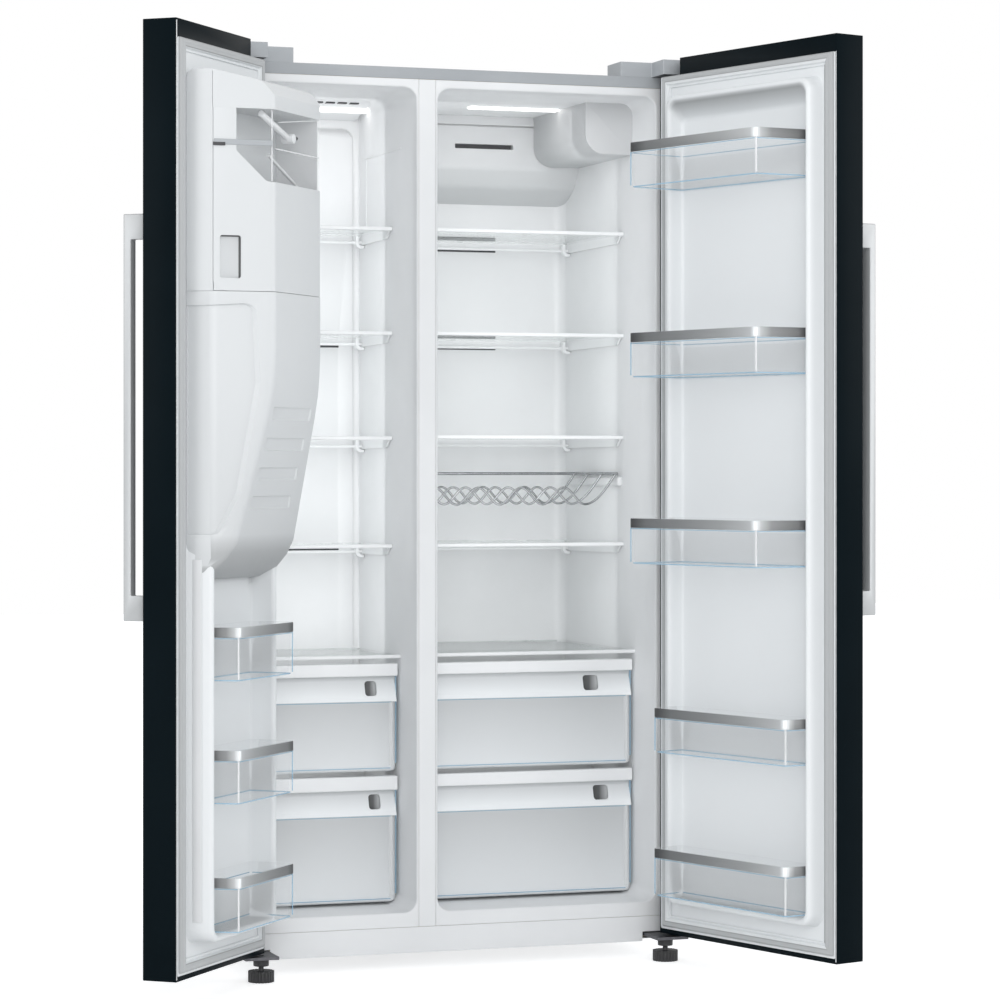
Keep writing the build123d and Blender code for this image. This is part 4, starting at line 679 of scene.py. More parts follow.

# %% [markdown]
# ## Drawers and their covers
# Each drawer is a frosted box, painted darker towards its top as shade. Its white front has a bar across the
# top and a hollow band under it that fingers reach into, painted darker under the bar as shadow, with one
# dark hand hole near the right end whose darkness is painted shade on a plate behind it. A painted highlight
# runs down the tub's right corner and pale blue edge strips are painted light. A sheet of glass with a slim
# white trim covers the upper drawer of each compartment.


# %% Drawer covers and drawers
def drawer(node, bar_low, hole):
    """A frosted tub with blue edges of painted light, a white bar and a hollow white band with a hand hole,
    with painted shade and a painted highlight.
    """
    low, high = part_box(node)
    x0, x1 = low.x + 7.5 * MM, high.x - 7.5 * MM
    front, back, bar_high = low.y, high.y, high.z
    face = front + 2 * MM
    wall = 2.5 * MM
    band_low = bar_low - 49.5 * MM
    lip = bar_low - 0.5 * MM

    def plan(inset, r):
        return rounded(x0 + inset, x1 - inset, face + inset, back - inset, r)

    tub = loft(
        node + "_tub",
        "Z",
        [
            (plan(9 * MM, 8 * MM), low.z),
            (plan(4 * MM, 12 * MM), low.z + 1.4 * MM),
            (plan(1.2 * MM, 15 * MM), low.z + 5 * MM),
            (plan(0.2 * MM, 16 * MM), low.z + 12 * MM),
            (plan(0, 16 * MM), band_low),
            (plan(wall, 14 * MM), band_low),
            (plan(wall, 14 * MM), low.z + 12 * MM),
            (plan(3.4 * MM, 13 * MM), low.z + 6 * MM),
            (plan(10 * MM, 8 * MM), low.z + 2.5 * MM),
        ],
    )
    bar_outline = [
        (front, bar_low, 3 * MM),
        (front + 24 * MM, bar_low, 1 * MM),
        (front + 24 * MM, bar_high, 1 * MM),
        (front, bar_high, 3 * MM),
    ]
    bar = prism(node + "_bar", "X", soft_outline(bar_outline), x0, x1)
    round_edges(bar, 2 * MM, 3, 50)
    hollow = [
        (face, band_low - 1 * MM, 1 * MM),
        (face + 2 * MM, band_low - 1 * MM, 0.4 * MM),
        (face + 8 * MM, band_low + 8 * MM, 8 * MM),
        (face + 18 * MM, lip - 6 * MM, 6 * MM),
        (face + 18 * MM, lip, 0.4 * MM),
        (face + 15 * MM, lip, 0.4 * MM),
        (face + 15 * MM, lip - 8 * MM, 6 * MM),
        (face + 5 * MM, band_low + 9 * MM, 8 * MM),
    ]
    band = prism(node + "_band", "X", soft_outline(hollow, 5), x0 + 1 * MM, x1 - 1 * MM)
    left, right, bottom, top = [value * MM for value in hole]
    grip = block(node + "_grip", (left, front - 5 * MM, bottom), (right, face + 40 * MM, top), 6 * MM)
    cut(band, grip)
    # Painted shadow: the number rises towards the top of the band, where the bar shades it.
    paint(band, lambda vertex: (vertex.co.z - band_low) / (lip - band_low))
    sides = [
        (face + 13 * MM, band_low, 1 * MM),
        (back - 1 * MM, band_low, 1 * MM),
        (back - 1 * MM, lip, 1 * MM),
        (face + 13 * MM, lip, 1 * MM),
    ]
    cheeks = []
    for x in (x0, x1 - wall):
        cheeks.append(prism(node + "_cheek", "X", soft_outline(sides), x, x + wall))
    cheeks.append(block(node + "_rear", (x0, back - wall, band_low), (x1, back, lip), 0.5 * MM))
    # Painted shade: a plate behind the hand hole stands for the shade inside it, darkest at the left.
    pocket = block(
        node + "_pocket",
        (left - 4 * MM, face + 19 * MM, bottom - 4 * MM),
        (right + 4 * MM, face + 21 * MM, min(top + 4 * MM, lip)),
    )
    # Painted light: pale blue strips along the tub's top and foot and up its sides.
    edges = []
    for z in (band_low - 2.4 * MM, low.z + 6 * MM):
        near, far = (x0 + 14 * MM, face - 0.4 * MM, z), (x1 - 14 * MM, face + 0.6 * MM, z + 1.4 * MM)
        edges.append(block(node + "_edge", near, far))
    for x in (x0 - 0.4 * MM, x1 - 0.6 * MM):
        near, far = (x - 0.6 * MM, face + 9 * MM, low.z + 16 * MM), (x + 1.4 * MM, face + 13 * MM, lip)
        edges.append(block(node + "_edge", near, far))
    # Painted highlight down the tub's right corner.
    shine = block(
        node + "_shine",
        (x1 - 17 * MM, face - 0.3 * MM, low.z + 12 * MM),
        (x1 - 10 * MM, face + 0.5 * MM, band_low - 3 * MM),
    )
    # Painted shade: the tub runs from light at its foot to darker under the band.
    paint(tub, lambda vertex: (vertex.co.z - low.z) / (band_low - low.z))
    for cheek in cheeks:
        paint(cheek, lambda vertex: 1.0)
    paint(pocket, lambda vertex: (vertex.co.x - left) / (right - left))
    return tub, bar, band, join(node + "_cheeks", cheeks), pocket, join(node + "_edges", edges), shine


drawers = {
    "freezer_drawer_upper": (566, (-161, -137, 527, 556)),
    "freezer_drawer_lower": (341, (-153, -129, 303, 332)),
    "fridge_drawer_upper": (567, (301, 333, 528, 558)),
    "fridge_drawer_lower": (344, (323, 355, 306, 335)),
}
for node, (bar_low, hole) in drawers.items():
    tub, bar, band, cheeks, pocket, edges, shine = drawer(node, bar_low * MM, hole)
    settle(tub, node, frosted, "clear_bin", node)
    settle(bar, node, shelf_lit_white, "trim_white")
    settle(band, node, band_shadow_white, "trim_white")
    settle(cheeks, node, frosted, "clear_bin")
    settle(pocket, node, hole_shade_grey, "dark_plastic")
    settle(edges, node, clear_edge, "clear_bin")
    settle(shine, node, glint, "clear_bin")

for room, (left, right), cover_z, front_y, back_y in (
    ("freezer", FREEZER_X, 607, 99, 383),
    ("fridge", FRIDGE_X, 608, 105, 527),
):
    y0, y1 = FRONT + front_y * MM, FRONT + back_y * MM
    pane = block(
        room + "_cover_pane",
        (left + 1 * MM, y0 + 8 * MM, (cover_z - 4) * MM),
        (right - 1 * MM, y1 - 1 * MM, cover_z * MM),
        0.4 * MM,
    )
    trim = block(
        room + "_cover_trim",
        (left + 1 * MM, y0, (cover_z - 6) * MM),
        (right - 1 * MM, y0 + 9 * MM, (cover_z + 1) * MM),
        2 * MM,
    )
    settle(pane, "cabinet", shelf_glass, "shelf_glass", *(["drawer_covers"] if room == "fridge" else []))
    settle(trim, "cabinet", shelf_lit_white, "trim_white")
print("drawers", len(drawers))

# %% [markdown]
# ## Doors: pan, gasket and handle
# The door pan is folded steel painted black, so its CAD shape only needs the small radius of a fold.
# The gasket is an extruded grey rubber ring with two soft ridges, mitred at the corners: one loop pulled
# through the ridges and welded shut. The handle is a brushed bar on two posts.


# %% Gaskets, pans and handles
def gasket(node, place, side, narrow):
    """A rubber ring with two ridges, pulled round as one loop, with painted shade in its groove; its liner
    laps over all but the free side.
    """
    low, high = box_in(node, place)
    profile = [
        (0.3, 0.1),
        (0, 1.5),
        (0.5, 4.2),
        (3, 6.9),
        (6, 7.5),
        (9, 7.0),
        (10, 6.6),
        (11, 7.0),
        (14, 7.5),
        (17, 6.9),
        (18.4, 4.0),
        (19.2, 2.2),
        (20.4, 2.2),
        (21.2, 3.6),
        (23.4, 3.2),
        (23.9, 1.5),
        (23.6, 0.1),
        (0.3, 0.1),
    ]
    stations = []
    for inset, rise in profile:
        i = inset * MM
        outline = rounded(low.x + i, high.x - i, low.z + i, high.z - i, 2 * MM)
        stations.append((outline, low.y + rise * MM))
    ring = loft(node + "_ring", "Y", stations, caps=(False, False), weld=True)

    # Painted shade: this number puts the ramp's dark band in the groove next to the liner; on the top, bottom
    # and hinge side it then turns white where the liner laps over.
    def across(vertex):
        c = vertex.co
        free = high.x - c.x if side > 0 else c.x - low.x
        others = min(c.x - low.x if side > 0 else high.x - c.x, c.z - low.z, high.z - c.z)
        return 0.83 * free / (24 * MM) if free < others else min(1.0, others / narrow)

    return paint(ring, across)


def handle_light_shade(place, inner, outer):
    """Painted light and shade: a number that runs from a handle's side near the door to its outer side, and
    past it on the posts.
    """
    back = place.inverted()

    def value(vertex):
        depth = (back @ vertex.co).y
        return 1.0 if depth > inner + 1 * MM else 0.9 * (inner - depth) / (inner - outer)

    return value


for side, place, turn, narrow in (
    ("freezer", freezer_place, 1, 20 * MM),
    ("fridge", fridge_place, -1, 15 * MM),
):
    body = side + "_door"
    ring = gasket(body + "_gasket", place, turn, narrow)
    settle(ring, body, gasket_grey, "gasket_grey", body + "_gasket", place=place)
    pan = softened(body + "_shell", 1.2 * MM)
    settle(pan, body, door_black, "door_black", body + "_shell")
    handle = softened(body + "_handle", 2.0 * MM, 3)
    low, high = box_in(body + "_handle", place)
    # The handle's tone runs across the bar as painted light and shade.
    paint(handle, handle_light_shade(place, low.y + 15 * MM, low.y))
    settle(handle, body, handle_steel, "handle_steel", body + "_handle")
    low, high = box_in(body + "_shell", place)
    free = high.x - 2.6 * MM if side == "freezer" else low.x + 0.4 * MM
    seam_top = (1782 if side == "freezer" else 1752) * MM
    near, far = (free, INNER - 0.4 * MM, 58 * MM), (free + 2.2 * MM, INNER + 0.8 * MM, seam_top)
    seam = block(body + "_seam", near, far)
    settle(seam, body, plain_steel, "plain_steel", place=place)
    print(side, "gasket", len(ring.data.vertices), "pan", len(pan.data.vertices))

# %% [markdown]
# ## Door liners
# The inside of each door is another vacuum-formed white sheet: a flat flange under the gasket, a raised
# dyke all round, and a sunk floor between the dykes where the bins hang. It is one loop again, pulled
# from the flange over the dyke and down to the floor. At the top of the fridge door the inner slope is
# long, which leaves the scoop seen over the first bin.


# %% Door liners
def door_liner(node, place, side, hinge_edge, free_edge, dyke_low, dyke_high, tall, top_slope):
    """A flange, a rounded dyke and a sunk floor pulled from one loop."""
    low, high = box_in(node, place)
    x0, x1 = sorted((side * (hinge_edge - 14) * MM, side * (free_edge - 14) * MM))
    z0, z1 = dyke_low * MM, dyke_high * MM

    def plug(inset, r, out, top=0.0):
        i = inset * MM
        return rounded(x0 + i, x1 - i, z0 + i, z1 - i - top * MM, r * MM), INNER + out * MM

    def flange(inset, out):
        i = inset * MM
        return rounded(low.x + i, high.x - i, low.z + i, high.z - i, 3 * MM), INNER + out * MM

    stations = [
        flange(0, 0.2),
        flange(0, 1.6),
        flange(0.4, 2),
        plug(-7, 32, 2),
        plug(-3, 30, 3),
        plug(-0.8, 28, 7),
        plug(0.4, 27, tall * 0.5),
        plug(1.2, 26, tall - 9),
        plug(2.4, 25, tall - 4),
        plug(5.0, 23, tall - 1),
        plug(8.5, 21, tall),
        plug(11.5, 20, tall - 1.2, 0.05 * top_slope),
        plug(14, 19, tall - 4.5, 0.12 * top_slope),
        plug(15, 18, tall - 9, 0.22 * top_slope),
        plug(16, 17, 10, 0.88 * top_slope),
        plug(18, 15, 5, 0.97 * top_slope),
        plug(22, 12, 3, top_slope),
    ]
    sheet = loft(node + "_sheet", "Y", stations)

    def scoop(vertex):
        """Painted shade: how far a point near the top faces down, more so at the lip than at the floor."""
        if vertex.co.z < z1 - 90 * MM or vertex.co.y < INNER + 6 * MM:
            return 0.0
        return max(0.0, min(1.0, -1.5 * vertex.normal.z)) * (vertex.co.y - INNER) / (tall * MM)

    return paint(sheet, scoop)


liner_sheet = door_liner("fridge_door_liner", fridge_place, -1, 58, 486, 120, 1709, 36, 30)
settle(liner_sheet, "fridge_door", scoop_shade_white, "liner_white", "fridge_door_liner", place=fridge_place)
liner_sheet = door_liner("freezer_door_liner", freezer_place, 1, 58, 345, 120, 848, 54, 4)
chute_gap = block(
    "chute_gap", (ice_x(74), INNER + 3.2 * MM, 760 * MM), (ice_x(329), INNER + 70 * MM, 870 * MM), 3 * MM
)
niche_gap = block(
    "niche_gap", (ice_x(94.7), INNER - 2 * MM, 929.2 * MM), (ice_x(286.3), INNER + 8 * MM, 1190.8 * MM)
)
cut(liner_sheet, chute_gap, niche_gap)


def dyke_shade(vertex):
    """How shaded the upright outer side of the dyke is, by its depth."""
    depth = (vertex.co.y - INNER) / MM
    if vertex.co.x < ice_x(341.8) or depth > 52:
        return 0.0
    return min(0.75, 0.04 * depth if depth < 8 else 0.3 + 0.0125 * (depth - 8))


paint(liner_sheet, dyke_shade)
settle(liner_sheet, "freezer_door", dyke_shade_white, "liner_white", "freezer_door_liner", place=freezer_place)
# The panel on the dyke side is in the darker white, as painted shade.
panel = block(
    "dyke_panel", (ice_x(344), INNER + 15 * MM, 158 * MM), (ice_x(346.4), INNER + 34 * MM, 812 * MM), 1 * MM
)
settle(panel, "freezer_door", duct_shade_white, "liner_white", place=freezer_place)
print("freezer door liner", len(liner_sheet.data.vertices))

# %% [markdown]
# ## Door bins
# A bin is a clear moulded tub with rounded front corners and a brushed steel strip bent round its rim.
# The tub is one loop pulled up the outside and down the inside; the strip is a ring cut off near the
# door, and its tone runs dark and light along it as a painted reflection. Its rim and foot catch a pale
# blue light, so thin edge strips carry that tone as painted light, and a pale strip down the front corner
# is a painted highlight.


# %% Door bins
def door_bin(node, place, side):
    """The tub, the blue edges of painted light, the steel strip with its painted reflection and the painted
    highlight of one bin.
    """
    low, high = box_in(node, place)
    floor_z, top = low.z - (12 * MM if side > 0 else 0), high.z - 10 * MM
    back, front = low.y, high.y - 1.5 * MM
    lean = 0.15 * (front - back) if front - back > 85 * MM else 6 * MM
    if side > 0:
        hinge, free = low.x + 0.5 * MM, high.x - 0.5 * MM
    else:
        hinge, free = high.x - 0.5 * MM, low.x + 0.5 * MM

    def plan(inset, r):
        i = inset * MM
        corners = [
            (hinge + side * i, back + i, 3 * MM),
            (free - side * i, back + i, 3 * MM),
            (free - side * (lean + i), front - i, r * MM),
            (hinge + side * (4 * MM + i), front - i, r * MM),
        ]
        return soft_outline(corners, 8)

    def strip_reflection(vertex):
        """Painted reflection: a number that runs from the hinge end, along the front, to the free end of the
        strip.
        """
        along = (vertex.co.x - hinge) / (free - hinge)
        out = (vertex.co.y - back) / (front - back)
        if vertex.co.y < front - 8 * MM:
            return 1 - 0.2 * out
        return 0.1 + 0.68 * along / (1 - lean / abs(free - hinge))

    tub = loft(
        node + "_tub",
        "Z",
        [
            (plan(9, 5), floor_z),
            (plan(5, 6), floor_z + 1 * MM),
            (plan(3, 7), floor_z + 4 * MM),
            (plan(0.6, 8), top - 24 * MM),
            (plan(0.3, 8), top),
            (plan(2.8, 6), top),
            (plan(3, 6), top - 24 * MM),
            (plan(5.5, 5), floor_z + 6 * MM),
            (plan(10, 4), floor_z + 2.6 * MM),
        ],
    )
    edges = []
    for inset, z0, z1 in (
        (3.2, floor_z + 2.4 * MM, floor_z + 4.6 * MM),
        (0.7, top - 21.5 * MM, top - 20 * MM),
    ):
        ring = [
            (plan(inset, 8), z0),
            (plan(inset - 0.5, 8), z0 + 0.5 * (z1 - z0)),
            (plan(inset, 8), z1),
            (plan(inset + 1.2, 7), z1),
            (plan(inset + 1.2, 7), z0),
            (plan(inset, 8), z0),
        ]
        edges.append(loft(node + "_edge", "Z", ring, caps=(False, False), weld=True))
    strip = loft(
        node + "_strip",
        "Z",
        [
            (plan(-0.2, 8.2), top - 19 * MM),
            (plan(-1.2, 9.2), top - 18 * MM),
            (plan(-1.2, 9.2), top - 1.8 * MM),
            (plan(-0.4, 8.4), top - 0.8 * MM),
            (plan(0, 8), top - 1 * MM),
            (plan(0, 8), top - 19 * MM),
            (plan(-0.2, 8.2), top - 19 * MM),
        ],
        caps=(False, False),
        weld=True,
    )
    only(strip)
    edit()
    bpy.ops.mesh.bisect(
        plane_co=(0, back + 12 * MM, 0), plane_no=(0, 1, 0), use_fill=True, clear_inner=True
    )
    bpy.ops.mesh.select_all(action="SELECT")
    bpy.ops.mesh.bisect(
        plane_co=(hinge + side * 5 * MM, 0, 0), plane_no=(side, 0, 0), use_fill=True, clear_inner=True
    )
    bpy.ops.object.mode_set(mode="OBJECT")
    # Upright edge strips at three corners carry the same painted blue edge light.
    for x, y in (
        (hinge + side * 6 * MM, front - 2 * MM),
        (free - side * 1 * MM, back + 6 * MM),
        (free - side * 4 * MM, back + 20 * MM),
    ):
        foot, head = floor_z + 6 * MM, top - 19 * MM
        near, far = (x - 0.8 * MM, y - 0.8 * MM, foot), (x + 0.8 * MM, y + 0.8 * MM, head)
        edges.append(block(node + "_edge", near, far))
    # Painted highlight down the bin's front corner.
    corner = free - side * (lean + 1.5 * MM)
    shine = block(
        node + "_shine",
        (corner - 1.6 * MM, front - 3 * MM, floor_z + 6 * MM),
        (corner + 1.6 * MM, front - 0.5 * MM, top - 19 * MM),
    )
    return tub, join(node + "_edges", edges), paint(strip, strip_reflection), shine


for room, place, side, count in (("freezer", freezer_place, 1, 3), ("fridge", fridge_place, -1, 5)):
    for number in range(1, count + 1):
        node = f"{room}_bin_{number}"
        tub, edges, strip, shine = door_bin(node, place, side)
        settle(tub, node, clear_bin, "clear_bin", node, place=place)
        settle(edges, node, clear_edge, "clear_bin", place=place)
        settle(strip, node, trim_steel_reflection, "handle_steel", place=place)
        settle(shine, node, glint, "clear_bin", place=place)
print("bins 8")

# %% [markdown]
# ## Ice maker on the freezer door
# The ice unit is a white moulded box with its free front corner cut off at a slant. Its cheek and
# sloping roof stay on the door, and the bucket below them pulls out with its window. Each is the same
# plan pulled upright; the bucket's window and grip are cut out of it, and the clear pane, the grey
# sensing bar and the arms behind the pane are pieces of their own.


# %% Ice unit plan
def ice_plan(inset, first, corner=(10, 16), front=143):
    """The slanted plan of the ice unit, from a depth outwards, inset all round."""
    near, far, bend = 60 + inset, 345 - inset, 54 - 0.6 * inset
    reach = front - inset
    slope = 75 / 89
    ridge = 345 - slope * (reach - 54) - 1.3 * inset
    start = far if first < bend else 345 - slope * (first - 54) - 1.3 * inset
    corners = [(near, first, 1.0), (start, first, 1.0)]
    if first < bend:
        corners.append((far, bend, corner[0]))
    corners += [(ridge, reach, corner[1]), (near, reach, 6)]
    return soft_outline([(ice_x(a), INNER + b * MM, r * MM) for a, b, r in corners], 7)


def upright(name, outline, z0, z1, soft=2.0):
    """A plan pulled upright, with its top and bottom edges softened."""
    piece = prism(name, "Z", outline, z0 * MM, z1 * MM)
    return round_edges(piece, soft * MM, 3, 60) if soft else piece


# %% [markdown]
# ## The part of the ice maker that stays on the door
# The cheek next to the door and the sloping roof are one moulding on the real unit. The plan is pulled
# upright and cut to the side view with an intersection, which rounds both views at once; bevels alone
# would not follow the slanted corner.


# %% Housing: cheek and roof
def ice_side(first, foot, head):
    """A tool with the round corners of the unit next to the door or the seam, seen from the side."""
    corners = [(first, 1296.4, foot), (170, 1296.4, 1), (170, 1697.8, 1), (first, 1697.8, head)]
    outline = soft_outline([(INNER + d * MM, z * MM, r * MM) for d, z, r in corners], 8)
    return prism("side_tool", "X", outline, ice_x(40), ice_x(360))


side_view = [(1, 1600, 1), (143, 1600, 1), (143, 1652, 9), (126, 1678, 26), (54, 1696, 60), (1, 1697.8, 2)]
outline = soft_outline([(INNER + d * MM, z * MM, r * MM) for d, z, r in side_view], 8)
roof = upright("ice_roof", ice_plan(0, 2.2), 1627, 1699, 0)
keep(roof, prism("side_tool", "X", outline, ice_x(40), ice_x(360)))
keep(roof, ice_side(2.2, 1, 20))
vents = []
for number in range(4):
    along = 96 + 27 * number
    near, far = (ice_x(along), INNER + 104 * MM, 1660 * MM), (ice_x(along + 19), INNER + 107 * MM, 1720 * MM)
    vents.append(block("vent", near, far, 1 * MM))
seam = block("seam", (ice_x(325), INNER + 54 * MM, 1620 * MM), (ice_x(350), INNER + 54.9 * MM, 1692 * MM))
cut(roof, *vents, seam)
cheek = upright("ice_cheek", ice_plan(0, 2.2), 1296.5, 1627, 0)
only(cheek)
edit()
bpy.ops.mesh.bisect(
    plane_co=(0, INNER + 54.4 * MM, 0), plane_no=(0, 1, 0), use_fill=True, clear_outer=True
)
bpy.ops.object.mode_set(mode="OBJECT")
keep(cheek, ice_side(2.2, 24, 1))
foot = keep(
    upright("foot", ice_plan(0.9, 2.4), 1296.6, 1322, 0),
    block("foot_tool", (ice_x(300), INNER, 1290 * MM), (ice_x(360), INNER + 54 * MM, 1330 * MM)),
)
housing = join("ice_housing_shell", [roof, cheek, foot])
# The housing and the bucket take the top of the ramp, a darker white as painted shade.
paint(housing, lambda vertex: 1.0)
settle(housing, "freezer_door", ice_shade_white, "liner_white", "ice_housing", place=freezer_place, angle=30)
print("housing", len(housing.data.vertices))

# %% [markdown]
# ## The bucket that pulls out
# The bucket is a thin white tub with a clear window over its slanted corner and a grip sunk in the slant.
# The window's outline cuts the tub and shapes the pane, so that the two fit. Works behind the pane are
# plain blocks and rods, since they are only seen through it.


# %% Bucket, window and fittings
def slant_block(name, wide, deep, tall, inwards, edge):
    """A block squared up to the slanted face, centred on the grip and sunk by a depth."""
    bpy.ops.mesh.primitive_cube_add(size=1, scale=(wide * MM, deep * MM, tall * MM))
    piece = bpy.context.object
    piece.name = piece.data.name = name
    bpy.ops.object.transform_apply(location=True, rotation=True, scale=True)
    round_edges(piece, edge * MM, 3)
    piece.rotation_euler = (0, 0, atan2(89, -75))
    run = 116.4
    piece.location = (ice_x(323 - inwards * 89 / run), INNER + (80 - inwards * 75 / run) * MM, 1358 * MM)
    bpy.ops.object.transform_apply(location=True, rotation=True, scale=True)
    return piece


def grip_shade(face):
    """Painted shade: dark for the roof and the ridge side of the grip, light for the rest."""
    return 1.0 if face.normal.z < -0.4 or face.normal.x * 75 - face.normal.y * 89 > 60 else 0.0


window_outline = [(316, 1640, 2), (316, 1550, 10), (279, 1495, 10), (50, 1495, 2), (50, 1640, 2)]
window_outline = soft_outline([(ice_x(a), z * MM, r * MM) for a, z, r in window_outline])
bucket = upright("ice_bucket_shell", ice_plan(0, 54.9), 1296.9, 1626.9, 0)
bay = upright("bay", ice_plan(3.2, 50), 1300, 1640, 0)
opening = prism("opening", "Y", window_outline, INNER + 56 * MM, INNER + 160 * MM)
cut(bucket, bay, opening, slant_block("grip", 40, 22, 78, 0, 5))
keep(bucket, ice_side(54.9, 22, 1))
foot = keep(
    upright("foot", ice_plan(0.9, 55.2), 1297.1, 1320, 0),
    block("foot_tool", (ice_x(316), INNER, 1290 * MM), (ice_x(360), INNER + 100 * MM, 1330 * MM)),
)
tray = block(
    "tray", (ice_x(66), INNER + 8 * MM, 1300 * MM), (ice_x(338), INNER + 55 * MM, 1303 * MM), 1 * MM
)
back_wall = block(
    "back_wall", (ice_x(66), INNER + 7 * MM, 1300 * MM), (ice_x(338), INNER + 10 * MM, 1626 * MM), 1 * MM
)
bucket = join("ice_bucket_shell", [bucket, foot, tray, back_wall])
paint(bucket, lambda vertex: 1.0)
settle(bucket, "ice_bucket", ice_shade_white, "liner_white", "ice_bucket", place=freezer_place, angle=30)
cup = cut(slant_block("ice_grip", 46, 16, 84, 9, 2), slant_block("grip", 40.2, 22.2, 78.2, 0, 5))
paint(cup, grip_shade, "FACE")
settle(cup, "ice_bucket", grip_shade_white, "trim_white", place=freezer_place)

pane = upright("ice_window", ice_plan(0.6, 56), 1495.5, 1626, 0)
cut(pane, upright("hollow", ice_plan(3.0, 50), 1490, 1660, 0))
keep(pane, prism("window_tool", "Y", window_outline, INNER + 50 * MM, INNER + 160 * MM))
settle(pane, "ice_bucket", clear_bin, "clear_bin", place=freezer_place, angle=30)
# Painted highlights on the window: a line across it and one down its ridge.
seam = block(
    "pane_seam", (ice_x(66), INNER + 140.4 * MM, 1555 * MM), (ice_x(262), INNER + 142 * MM, 1557 * MM)
)
settle(seam, "ice_bucket", glint, "clear_bin", place=freezer_place)
ridge = block(
    "pane_ridge_highlight", (ice_x(267), INNER + 136.5 * MM, 1497 * MM), (ice_x(269.5), INNER + 138 * MM, 1625 * MM)
)
settle(ridge, "ice_bucket", glint, "clear_bin", place=freezer_place)

bar = upright("sensing_bar", ice_plan(-2.2, 57, (4, 10)), 1560, 1570, 1.2)
core = upright("core", ice_plan(0.2, 40), 1550, 1580, 0)
ends = block("ends", (ice_x(20), INNER + 20 * MM, 1550 * MM), (ice_x(274), INNER + 170 * MM, 1580 * MM))
cut(bar, core, ends)
notch = upright("sensing_notch", ice_plan(-3.0, 56, (4, 10)), 1558, 1564, 0.6)
core = upright("core", ice_plan(0.2, 40), 1550, 1580, 0)
ends = block("ends", (ice_x(20), INNER + 20 * MM, 1550 * MM), (ice_x(332), INNER + 170 * MM, 1580 * MM))
cut(notch, core, ends)
settle(bar, "ice_bucket", cover_grey, "cover_grey", place=freezer_place)
settle(notch, "ice_bucket", dark_plastic, "dark_plastic", place=freezer_place)
# Painted shade: plates in the darker white inside the bucket stand for its shaded inside, seen through the
# window.
plates = [
    block("plate", (ice_x(68), INNER + 40 * MM, 1497 * MM), (ice_x(336), INNER + 42 * MM, 1625 * MM)),
    block("plate", (ice_x(64.5), INNER + 40 * MM, 1497 * MM), (ice_x(66.5), INNER + 138 * MM, 1625 * MM)),
]
plate = join("ice_plates", plates)
settle(plate, "ice_bucket", duct_shade_white, "liner_white", place=freezer_place)


def inside(along, depth, z):
    """A point inside the bucket."""
    return ice_x(along), INNER + depth * MM, z * MM


arms = [
    block("block", inside(296, 58, 1578), inside(312, 74, 1624), 3 * MM),
    rod("arm", inside(262, 112, 1621), inside(140, 112, 1586), 6 * MM, 24, 1 * MM),
    rod("eye", inside(140, 100, 1586), inside(140, 124, 1586), 9 * MM, 32, 1 * MM),
    rod("ramp", inside(202, 100, 1550), inside(74, 100, 1503), 3 * MM, 16),
    rod("ramp", inside(300, 66, 1548), inside(268, 104, 1500), 3 * MM, 16),
]
settle(join("ice_arms", arms), "ice_bucket", trim_white, "trim_white", place=freezer_place)
pin = rod("ice_pin", inside(130, 112, 1588), inside(104, 112, 1590), 3.5 * MM, 24)
settle(pin, "ice_bucket", dark_plastic, "dark_plastic", place=freezer_place)
auger = softened("ice_auger", 0.8 * MM)
settle(auger, "ice_auger", plain_steel, slots["ice_auger"], "ice_auger")
auger_box = [round(v / MM) for corner in box_in("ice_auger", freezer_place) for v in corner]
print("ice unit", len(bucket.data.vertices), "auger", auger_box)

# %% [markdown]
# ## Chute housing under the ice maker
# Below the bucket the same plan runs down and curves back to the door over the dispenser. It is pulled
# through stations whose reach follows the side view. Two sunk panels are made by cutting their outline
# out of the outer skin, with a slightly smaller skin behind it; four shallow finger recesses are cut
# into the front.


# %% Chute housing
def chute_reach(z):
    """How far the housing stands out of the door at a height."""
    profile = [(1300, 143), (1190, 143), (1150, 141.5), (1110, 138), (1070, 131.5)]
    profile += [(842, 88), (815, 74), (790, 52), (773, 20)]
    for (z1, r1), (z0, r0) in zip(profile, profile[1:]):
        if z >= z0:
            return r0 + (r1 - r0) * (z - z0) / (z1 - z0)
    return profile[-1][1]


def chute_plan(inset, z, base=2.2):
    """The plan of the housing at a height, rounder at its free corner than the bucket above."""
    near, far = 60 + inset, 345 - inset
    reach = chute_reach(z) - inset
    bend = max(8, min(54, chute_reach(z) - 16)) - 0.6 * inset
    ridge = far - max(8.0, 75 / 89 * (chute_reach(z) - 54)) - 0.4 * inset
    tight = max(3.0, min(44.0, 0.34 * reach, 0.6 * (reach - 38)))
    corners = [
        (near, base, 0.5),
        (far, base, 0.5),
        (far, bend, min(tight, 0.6 * bend)),
        (ridge, reach, min(tight, 30.0)),
        (near, reach, 4),
    ]
    return soft_outline([(ice_x(a), INNER + b * MM, max(r, 0.4) * MM) for a, b, r in corners], 8)


def chute_skin(name, inset):
    """One skin of the chute housing."""
    heights = [1296.2, 1250, 1190, 1150, 1110, 1070, 1030, 980, 930, 880, 842, 828, 815, 802, 790, 781, 774]
    stations = [(chute_plan(inset, z), z * MM) for z in heights]
    stations[0] = (chute_plan(inset + 0.5, heights[0]), heights[0] * MM)
    stations.insert(1, (chute_plan(inset, heights[0] - 0.8), (heights[0] - 0.8) * MM))
    return loft(name, "Z", stations)


def panel_cut(name, corners):
    """A cutter that goes in along the door's own depth."""
    outline = soft_outline([(ice_x(a), z * MM, r * MM) for a, z, r in corners], 8)
    return prism(name, "Y", outline, INNER + 4 * MM, INNER + 170 * MM)


